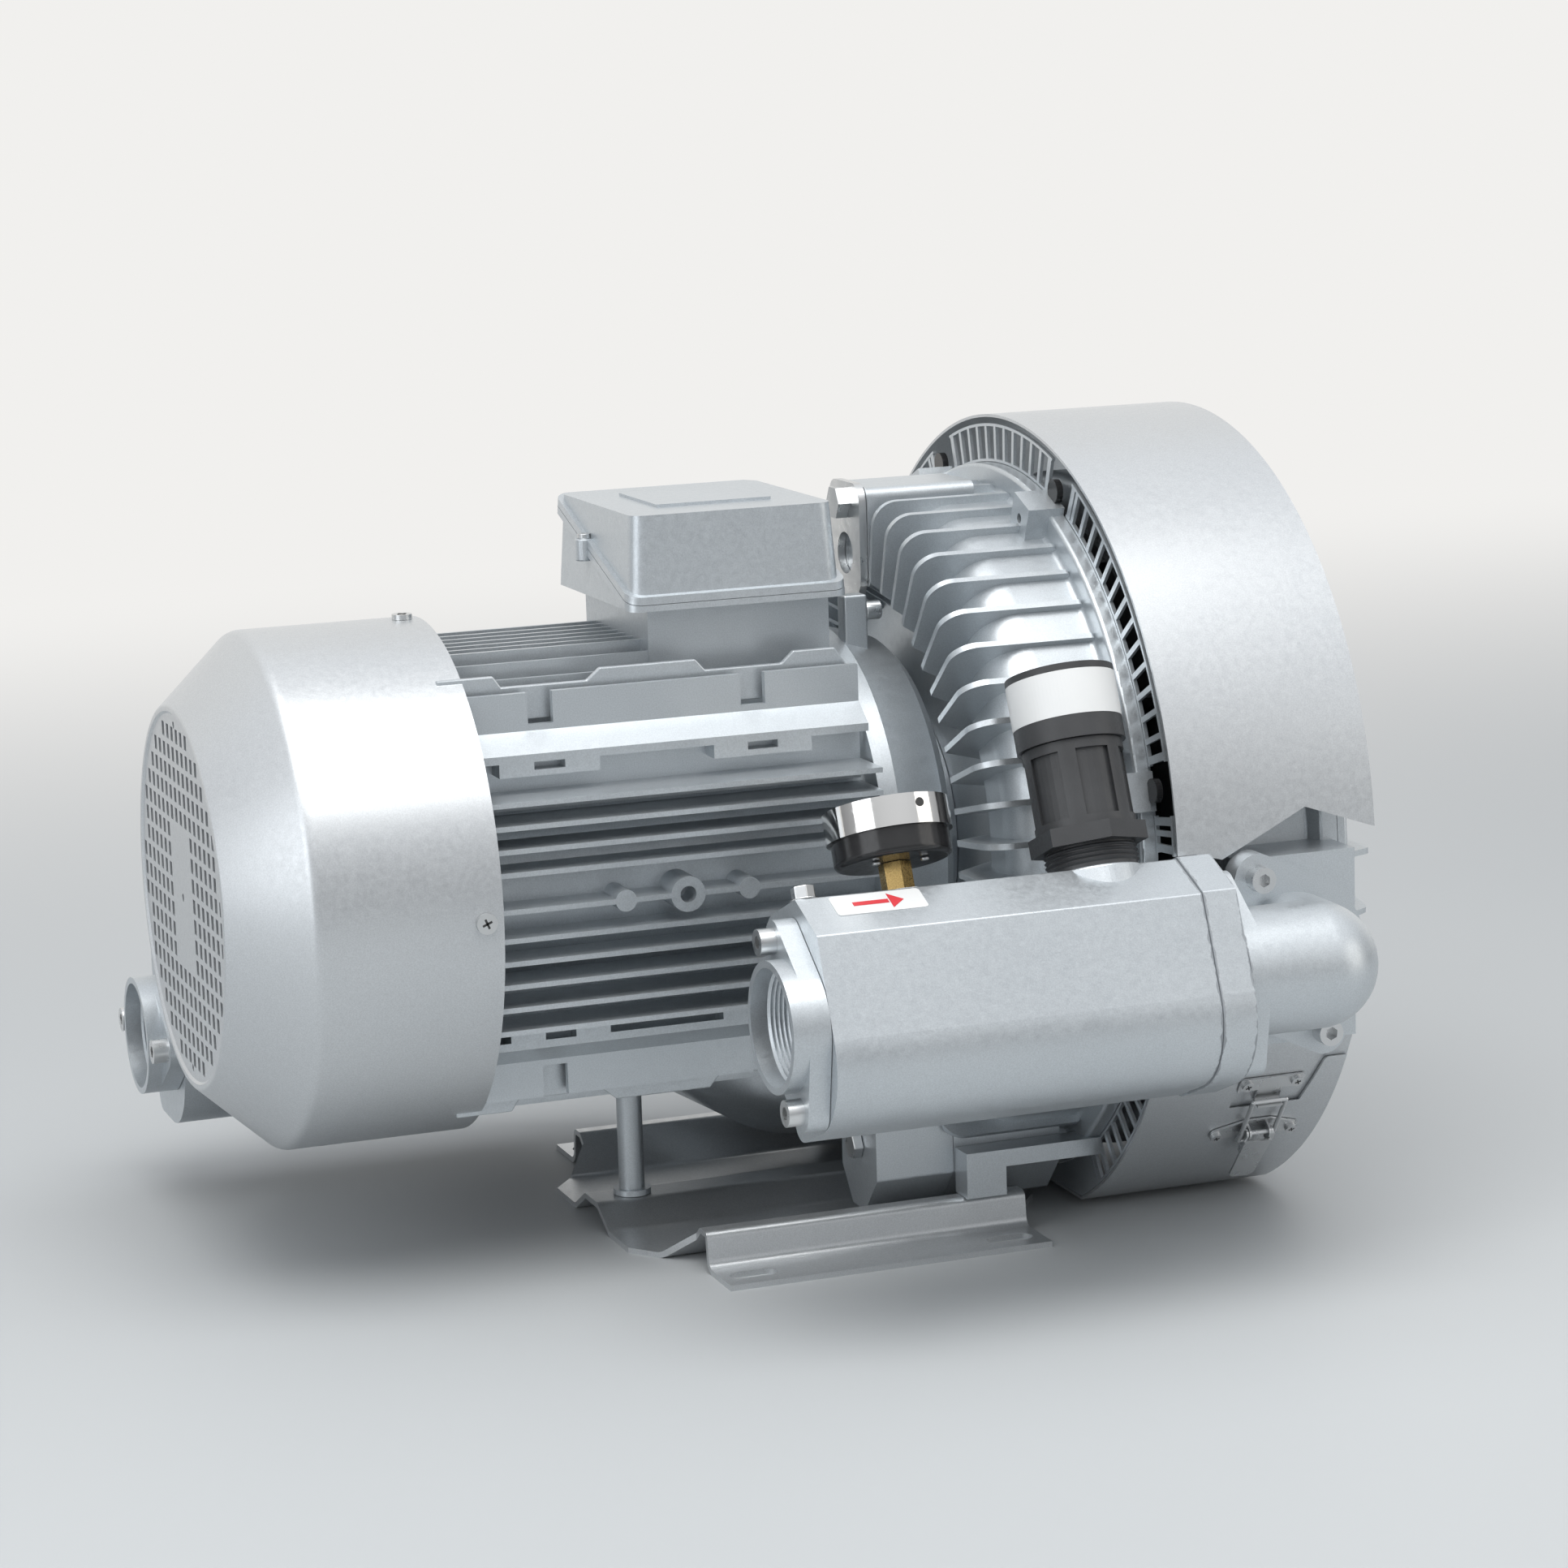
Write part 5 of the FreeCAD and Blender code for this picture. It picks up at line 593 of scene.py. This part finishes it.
def makeValveSpring():
    # coil spring, which on the real valve shortens when the poppet lifts
    bm = bmesh.new()
    out = bmesh.ops.create_circle(bm, cap_ends=False, segments=10, radius=spring["wire"])
    bmesh.ops.rotate(bm, cent=(0, 0, 0), matrix=Matrix.Rotation(math.pi / 2, 3, "X"), verts=out["verts"])
    bmesh.ops.translate(bm, vec=(spring["radius"], 0, spring["low"]), verts=out["verts"])
    steps = spring["stepsPerTurn"] * spring["turns"]
    rise = (spring["high"] - spring["low"]) / steps
    bmesh.ops.spin(bm, geom=list(bm.verts) + list(bm.edges), cent=(0, 0, 0), axis=(0, 0, 1), dvec=(0, 0, rise),
                   angle=2 * math.pi * spring["turns"], steps=steps, use_merge=False)
    bmesh.ops.holes_fill(bm, edges=openEdges(bm), sides=0)
    bmesh.ops.recalc_face_normals(bm, faces=bm.faces)
    piece = addPiece("valveCoilSpring", bm, "steelBare", place=standing(*valveSpot, 0.0), smooth=True)
    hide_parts("valve_spring")
    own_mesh(piece)


shieldLug = {"size": (0.013, 0.010, 0.031), "centre": (0.0329, -0.029, 0.3125), "edge": 0.0012}
# the lug's bolt, and the plug of the duct cap: way is the side of x that it looks at
lugBolt = {"place": (0.0394, -0.029, 0.3190), "radius": 0.0050, "height": 0.0085, "sides": 28, "way": 1}
ductPlug = {"place": (0.0102, -0.0758, 0.0460), "radius": 0.0072, "height": 0.0052, "sides": 6, "way": -1}


def makeDriveEndLug():
    bm = bmesh.new()
    block(bm, shieldLug["size"], shieldLug["centre"])
    softEdges(bm, shieldLug["edge"], 3)
    addPiece("shieldLug", bm, "castSilver")
    bm = bmesh.new()
    for item in (lugBolt, ductPlug):
        made = drum(bm, item["radius"], item["height"], (0, 0, 0), item["sides"])
        turn = Matrix.Rotation(item["way"] * math.pi / 2, 4, "Y")
        bmesh.ops.transform(bm, matrix=Matrix.Translation(item["place"]) @ turn, verts=made)
    softEdges(bm, 0.0005)
    addPiece("lugBoltAndPlug", bm, "zincPlate")


thread = {"pitch": 0.00231, "portTurns": 9, "portBore": 0.02835, "portCrest": 0.02715, "portWall": 0.0001,
          "neckTurns": 4, "neckRoot": 0.0218, "neckCrest": 0.0231, "neckBack": 0.0205, "neckRise": 2.0,
          "ports": {"nearPortThread": (-0.0895, -0.250, 0.159), "farPortThread": (-0.3125, 0.152, 0.092)}}


def threadRings(root, crest, turns, back):
    bm = bmesh.new()
    pitch = thread["pitch"]
    points = []
    for i in range(turns):
        points += [(root, i * pitch), (crest, (i + 0.5) * pitch)]
    points += [(root, turns * pitch), (back, turns * pitch), (back, 0.0)]
    corners = [bm.verts.new((r, 0, z)) for r, z in points]
    ring = [bm.edges.new((corners[i - 1], corners[i])) for i in range(len(corners))]
    bmesh.ops.spin(bm, geom=corners + ring, cent=(0, 0, 0), axis=(0, 0, 1), angle=2 * math.pi, steps=72, use_merge=True)
    bmesh.ops.remove_doubles(bm, verts=bm.verts, dist=0.00001)
    bmesh.ops.recalc_face_normals(bm, faces=bm.faces)
    return bm


def makeThreads():
    turn = Matrix.Rotation(math.pi / 2, 4, "Y")
    for name, place in thread["ports"].items():
        bore = thread["portBore"]
        bm = threadRings(bore, thread["portCrest"], thread["portTurns"], bore + thread["portWall"])
        addPiece(name, bm, "castSilver", place=Matrix.Translation(place) @ turn)
    bm = threadRings(thread["neckRoot"], thread["neckCrest"], thread["neckTurns"], thread["neckBack"])
    addPiece("valveNeckThread", bm, "blackPlastic", place=standing(*valveSpot, thread["neckRise"]))


sleeve = {"radius": 0.0233, "height": 0.0335, "base": 0.0252, "wall": 0.0015}


def makeValveSleeve():
    # closes the valve's windows a little behind the ribs
    bm = bmesh.new()
    drum(bm, sleeve["radius"], sleeve["height"], (0, 0, sleeve["base"]), 48)
    bmesh.ops.delete(bm, geom=[f for f in bm.faces if abs(f.normal.z) > 0.9], context="FACES_ONLY")
    bmesh.ops.solidify(bm, geom=list(bm.faces), thickness=sleeve["wall"])
    bmesh.ops.recalc_face_normals(bm, faces=bm.faces)
    addPiece("valveSleeve", bm, "blackPlastic", place=standing(*valveSpot, 0.0))


labelSize = {"radius": 0.02718, "low": 0.0745, "high": 0.0968, "start": 150.0, "sweep": 196.0, "corner": 0.003, "paper": 0.00018}


def makeValveLabel():
    bm = bmesh.new()
    start = math.radians(labelSize["start"])
    spot = (math.cos(start) * labelSize["radius"], math.sin(start) * labelSize["radius"])
    ends = [bm.verts.new((spot[0], spot[1], labelSize[key])) for key in ("low", "high")]
    edge = bm.edges.new(ends)
    bmesh.ops.spin(bm, geom=ends + [edge], cent=(0, 0, 0), axis=(0, 0, 1), angle=math.radians(labelSize["sweep"]),
                   steps=48, use_merge=False)
    bmesh.ops.recalc_face_normals(bm, faces=bm.faces)
    corners = [v for v in bm.verts if len(v.link_edges) == 2]
    bmesh.ops.bevel(bm, geom=corners, offset=labelSize["corner"], offset_type="OFFSET", affect="VERTICES",
                    segments=4, profile=0.5, material=-1)
    bmesh.ops.solidify(bm, geom=list(bm.faces), thickness=labelSize["paper"])
    bmesh.ops.recalc_face_normals(bm, faces=bm.faces)
    addPiece("valveBlankLabel", bm, "paperLabel", place=standing(*valveSpot, 0.0))


# the strip leans with the silencer's chamfer; its place is in millimetres
arrowSize = {"x": -40.0, "across": -15.6, "drop": -6.6, "lean": 45.0, "length": 0.046, "width": 0.016, "paper": 0.0003,
             "corner": 0.002, "shaft": (0.018, 0.0030, 0.0002), "shaftX": -0.004, "head": 0.0052,
             "headStretch": (1.3, 0.9, 1), "headX": 0.008, "inkZ": 0.0004}


def makeFlowArrow():
    # white strip with a plain arrow on the long chamfer of the silencer
    place = standing(arrowSize["x"], arrowSize["across"], arrowSize["drop"])
    place = place @ Matrix.Rotation(math.radians(arrowSize["lean"]), 4, "X")
    bm = bmesh.new()
    block(bm, (arrowSize["length"], arrowSize["width"], arrowSize["paper"]), (0, 0, arrowSize["paper"] / 2))
    corners = [e for e in bm.edges if abs(e.verts[0].co.z - e.verts[1].co.z) > 0.0001]
    bmesh.ops.bevel(bm, geom=corners, offset=arrowSize["corner"], offset_type="OFFSET", affect="EDGES",
                    segments=3, profile=0.5, material=-1)
    addPiece("flowArrowStrip", bm, "paperLabel", place=place)
    bm = bmesh.new()
    block(bm, arrowSize["shaft"], (arrowSize["shaftX"], 0, arrowSize["inkZ"]))
    head = bmesh.ops.create_cone(bm, cap_ends=True, segments=3, radius1=arrowSize["head"], radius2=arrowSize["head"],
                                 depth=arrowSize["shaft"][2])["verts"]
    bmesh.ops.scale(bm, vec=arrowSize["headStretch"], verts=head)
    bmesh.ops.rotate(bm, cent=(0, 0, 0), matrix=Matrix.Rotation(-math.pi / 2, 3, "Z"), verts=head)
    bmesh.ops.translate(bm, vec=(arrowSize["headX"], 0, arrowSize["inkZ"]), verts=head)
    addPiece("flowArrow", bm, "redInk", place=place)


# black crosses painted as the shade in the cross recesses of the cover's screws, and of the small screws of both
# latches
crossSize = {"long": 0.0052, "wide": 0.0011, "deep": 0.0004, "turn": 0.4,
             "cover": {"x": -0.2012, "degrees": (0, 90, 180, 270), "radius": 0.13520},
             "latch": ((0.2205, 133.8, 0.2159), (0.1775, 133.8, 0.2159), (0.2130, 123.4, 0.2141), (0.1850, 123.4, 0.2141)),
             "latchScale": 0.62}


def crossRecessShade(bm, place, scale=1.0):
    long, wide, deep = (crossSize[key] * scale for key in ("long", "wide", "deep"))
    made = block(bm, (long, wide, deep), (0, 0, 0)) + block(bm, (wide, long, deep), (0, 0, 0))
    bmesh.ops.transform(bm, matrix=place @ Matrix.Rotation(crossSize["turn"], 4, "Z"), verts=made)


def makeCrossRecessShade():
    bm = bmesh.new()
    screws = crossSize["cover"]
    for degrees in screws["degrees"]:
        crossRecessShade(bm, radial(screws["x"], degrees, screws["radius"]))
    for side in (1, -1):
        for x, degrees, radius in crossSize["latch"]:
            crossRecessShade(bm, radial(x, side * degrees, radius), crossSize["latchScale"])
    # these crosses are painted shade; nothing is cut into the screw heads
    addPiece("screwRecessShade", bm, "blackInkAndPaintedShade")


dial = {"top": 24.3, "ticks": 41, "bigEvery": 10, "start": 225.0, "sweep": -270.0, "rim": 0.0222,
        "bigTick": (0.0042, 0.0007, 0.0002), "smallTick": (0.0022, 0.0003, 0.0002),
        "numbers": ("0", "100", "200", "300", "400"), "numberSize": 0.0048, "numberRadius": 0.0145, "numberZ": 0.0001}


def dialAngle(share):
    return math.radians(dial["start"] + dial["sweep"] * share)


def makeDialMarks():
    bm = bmesh.new()
    for i in range(dial["ticks"]):
        size = dial["smallTick"] if i % dial["bigEvery"] else dial["bigTick"]
        turn = Matrix.Rotation(dialAngle(i / (dial["ticks"] - 1)), 4, "Z")
        block(bm, size, (0, 0, 0), turn @ Matrix.Translation((dial["rim"] - size[0] / 2, 0, 0)))
    place = standing(*gaugeSpot, dial["top"])
    addPiece("dialTicks", bm, "blackInkAndPaintedShade", place=place)
    bm = bmesh.new()
    for i, word in enumerate(dial["numbers"]):
        angle = dialAngle(i / (len(dial["numbers"]) - 1))
        curve = bpy.data.curves.new("dialNumber", "FONT")
        curve.body = word
        curve.size = dial["numberSize"]
        curve.align_x = "CENTER"
        curve.align_y = "CENTER"
        curve.resolution_u = 3
        holder = bpy.data.objects.new("dialNumber", curve)
        mesh = bpy.data.meshes.new_from_object(holder)
        spot = (math.cos(angle) * dial["numberRadius"], math.sin(angle) * dial["numberRadius"], dial["numberZ"])
        mesh.transform(Matrix.Translation(spot))
        bm.from_mesh(mesh)
        bpy.data.objects.remove(holder)
    addPiece("dialNumbers", bm, "blackInkAndPaintedShade", place=place)


caseScrews = {"x": (-0.0125, 0.0125), "y": -0.009, "z": 0.0148, "radius": 0.0021, "height": 0.0014, "edge": 0.0004}
# black disc painted on the bezel as the shade of its round hole
bezelHoleShade = {"radius": 0.0022, "height": 0.0006, "degrees": -78, "out": 0.0307, "z": 0.0395}


def makeGaugeTrim():
    # two case screws beside the stem, and a black disc painted on the bezel as the shade of a round hole
    place = standing(*gaugeSpot, 0.0)
    bm = bmesh.new()
    for x in caseScrews["x"]:
        drum(bm, caseScrews["radius"], caseScrews["height"], (x, caseScrews["y"], caseScrews["z"]), 20)
    softEdges(bm, caseScrews["edge"])
    addPiece("gaugeCaseScrews", bm, "zincPlate", place=place)
    bm = bmesh.new()
    drum(bm, bezelHoleShade["radius"], bezelHoleShade["height"], (0, 0, 0), 20)
    side = Matrix.Rotation(math.radians(bezelHoleShade["degrees"]), 4, "Z")
    side = side @ Matrix.Translation((bezelHoleShade["out"], 0, bezelHoleShade["z"])) @ Matrix.Rotation(math.pi / 2, 4, "Y")
    addPiece("gaugeBezelHoleShade", bm, "blackInkAndPaintedShade", place=place @ side)


silencerPlug = {"place": (-72.0, -2.0, 0.2), "hex": 0.0058, "height": 0.0068, "washer": 0.0070, "washerHeight": 0.0008, "edge": 0.0004}


def makeSilencerPlug():
    bm = bmesh.new()
    drum(bm, silencerPlug["hex"], silencerPlug["height"], (0, 0, 0), 6)
    drum(bm, silencerPlug["washer"], silencerPlug["washerHeight"], (0, 0, 0))
    softEdges(bm, silencerPlug["edge"])
    addPiece("silencerPlug", bm, "zincPlate", place=standing(*silencerPlug["place"]))


spacers = {"x": 0.1265, "degrees": (-77.0, -23.0, 77.0, 23.0), "out": 0.1985, "radius": 0.0062, "height": 0.0034}


def makeShroudSpacers():
    bm = bmesh.new()
    for degrees in spacers["degrees"]:
        place = radial(spacers["x"], degrees, spacers["out"]) @ Matrix.Rotation(math.pi / 2, 4, "Y")
        made = drum(bm, spacers["radius"], spacers["height"], (0, 0, 0), 28)
        bmesh.ops.transform(bm, matrix=place, verts=made)
    addPiece("shroudSpacers", bm, "blackLacquer")


lidScrew = {"x": (-0.1002, 0.0162), "y": 0.0085, "edge": 0.0007, "headEdge": 0.0004,
            "boss": {"radius": 0.0048, "height": 0.0115, "z": 0.3515}, "head": {"radius": 0.0033, "height": 0.0026, "z": 0.3630}}


def makeLidScrews():
    bosses, heads = bmesh.new(), bmesh.new()
    for x in lidScrew["x"]:
        for bm, part, sides in ((bosses, lidScrew["boss"], 28), (heads, lidScrew["head"], 24)):
            drum(bm, part["radius"], part["height"], (x, lidScrew["y"], part["z"]), sides)
    softEdges(bosses, lidScrew["edge"])
    softEdges(heads, lidScrew["headEdge"])
    addPiece("lidScrewBosses", bosses, "castSilver")
    addPiece("lidScrews", heads, "zincPlate")


makeFanCover()
makeAirGrid()
makeSteppedRibs()
makeValveSeat()
makeValveSpring()
makeDriveEndLug()
makeThreads()
makeValveSleeve()
makeValveLabel()
makeFlowArrow()
makeCrossRecessShade()
makeDialMarks()
makeGaugeTrim()
makeSilencerPlug()
makeShroudSpacers()
makeLidScrews()
print("small pieces placed")

# floor, light and camera

floor = {"half": 16, "near": -9, "bend": 3.5, "bendRadius": 2.0, "wall": 5, "colour": (0.45, 0.468, 0.478, 1),
         "drift": 1.03, "driftSize": 1.2, "rough": 0.55, "backColour": (0.88, 0.872, 0.855, 1), "fade": (0.45, 2.6)}


def floorMesh():
    # a flat floor that bends up into a wall behind the object
    bm = bmesh.new()
    ends = [bm.verts.new((x, floor["near"], 0)) for x in (-floor["half"], floor["half"])]
    out = bmesh.ops.extrude_edge_only(bm, edges=[bm.edges.new(ends)])
    moved = [v for v in out["geom"] if isinstance(v, bmesh.types.BMVert)]
    bmesh.ops.translate(bm, verts=moved, vec=(0, floor["bend"] - floor["near"], 0))
    rim = [e for e in bm.edges if all(v in moved for v in e.verts)]
    bmesh.ops.spin(bm, geom=rim, cent=(0, floor["bend"], floor["bendRadius"]), axis=(1, 0, 0), angle=math.pi / 2,
                   steps=16, use_merge=False)
    back = floor["bend"] + floor["bendRadius"] - 0.01
    out = bmesh.ops.extrude_edge_only(bm, edges=[e for e in bm.edges if all(v.co.y > back for v in e.verts)])
    moved = [v for v in out["geom"] if isinstance(v, bmesh.types.BMVert)]
    bmesh.ops.translate(bm, verts=moved, vec=(0, 0, floor["wall"]))
    bmesh.ops.recalc_face_normals(bm, faces=bm.faces)
    mesh = bpy.data.meshes.new("floorSweep")
    bm.to_mesh(mesh)
    bm.free()
    for face in mesh.polygons:
        face.use_smooth = True
    return mesh


def floorMaterial():
    material, tree, shader, coords = finish("paleFloor")
    soft = noise(tree, coords, floor["driftSize"], 3.0)
    tone = mixColour(tree, soft, floor["colour"], scaled(floor["colour"], floor["drift"]))
    tree.links.new(tone, shader.inputs["Base Color"])
    shader.inputs["Roughness"].default_value = floor["rough"]
    # far away the sweep turns into the plain pale backdrop
    glow = tree.nodes.new("ShaderNodeEmission")
    glow.inputs["Color"].default_value = floor["backColour"]
    split = tree.nodes.new("ShaderNodeSeparateXYZ")
    tree.links.new(coords, split.inputs[0])
    far = tree.nodes.new("ShaderNodeMapRange")
    far.interpolation_type = "SMOOTHSTEP"
    far.inputs["From Min"].default_value, far.inputs["From Max"].default_value = floor["fade"]
    tree.links.new(split.outputs["Y"], far.inputs["Value"])
    path = tree.nodes.new("ShaderNodeLightPath").outputs
    mirrored = maths(tree, "MAXIMUM", path["Is Glossy Ray"], path["Is Transmission Ray"])
    seen = maths(tree, "MAXIMUM", path["Is Camera Ray"], mirrored)
    blend = tree.nodes.new("ShaderNodeMixShader")
    tree.links.new(maths(tree, "MULTIPLY", far.outputs["Result"], seen), blend.inputs[0])
    tree.links.new(shader.outputs[0], blend.inputs[1])
    tree.links.new(glow.outputs[0], blend.inputs[2])
    tree.links.new(blend.outputs[0], tree.nodes["Material Output"].inputs["Surface"])
    return material


def makeFloor():
    sweep = bpy.data.objects.new("floorSweep", floorMesh())
    scene.collection.objects.link(sweep)
    sweep.data.materials.append(floorMaterial())


sky = {"colour": (0.95, 0.97, 1.0, 1), "heights": (-0.15, 0.75), "strengths": (0.12, 1.0)}


def makeWorld():
    # soft sky: bright overhead, dim near the floor
    world = bpy.data.worlds.new("studioSky")
    scene.world = world
    world.use_nodes = True
    tree = world.node_tree
    back = tree.nodes["Background"]
    back.inputs["Color"].default_value = sky["colour"]
    coords = tree.nodes.new("ShaderNodeTexCoord").outputs["Generated"]
    split = tree.nodes.new("ShaderNodeSeparateXYZ")
    tree.links.new(coords, split.inputs[0])
    tree.links.new(ramp(tree, split.outputs["Z"], *sky["heights"], *sky["strengths"]), back.inputs["Strength"])


lampAim = (0, 0, 0.2)
lamps = {
    "overheadSoftbox": {"place": (-0.3, -0.8, 2.2), "size": (2.2, 1.6), "power": 42, "colour": (1.0, 0.99, 0.97)},
    "leftPanel": {"place": (-2.4, -1.2, 0.9), "size": (1.6, 1.6), "power": 14, "colour": (0.94, 0.97, 1.0)},
    "rightPanel": {"place": (2.2, -1.6, 0.8), "size": (1.4, 1.6), "power": 8, "colour": (1.0, 0.96, 0.90)},
}


def makeLamps():
    for name, setting in lamps.items():
        lamp = bpy.data.lights.new(name, "AREA")
        lamp.shape = "RECTANGLE"
        lamp.size, lamp.size_y = setting["size"]
        lamp.energy = setting["power"]
        lamp.color = setting["colour"]
        holder = bpy.data.objects.new(name, lamp)
        scene.collection.objects.link(holder)
        holder.location = setting["place"]
        holder.rotation_euler = (Vector(lampAim) - Vector(setting["place"])).to_track_quat("-Z", "Y").to_euler()


# solved from the photo's straight edges, angles in radians
cameraSetting = {"place": (-0.74418, -2.07614, 0.63360), "yaw": 0.3452, "pitch": -0.1829, "roll": -0.0320,
                 "lens": 97.34, "sensor": 36.0}


def makeCamera():
    data = bpy.data.cameras.new("photoCamera")
    data.lens = cameraSetting["lens"]
    data.sensor_width = cameraSetting["sensor"]
    data.sensor_fit = "HORIZONTAL"
    holder = bpy.data.objects.new("photoCamera", data)
    scene.collection.objects.link(holder)
    turn = Matrix.Rotation(-cameraSetting["yaw"], 4, "Z") @ Matrix.Rotation(math.pi / 2 + cameraSetting["pitch"], 4, "X")
    turn = turn @ Matrix.Rotation(cameraSetting["roll"], 4, "Z")
    holder.matrix_world = Matrix.Translation(cameraSetting["place"]) @ turn
    scene.camera = holder


makeFloor()
makeWorld()
makeLamps()
makeCamera()
scene.view_settings.view_transform = "Standard"
print("stage ready")
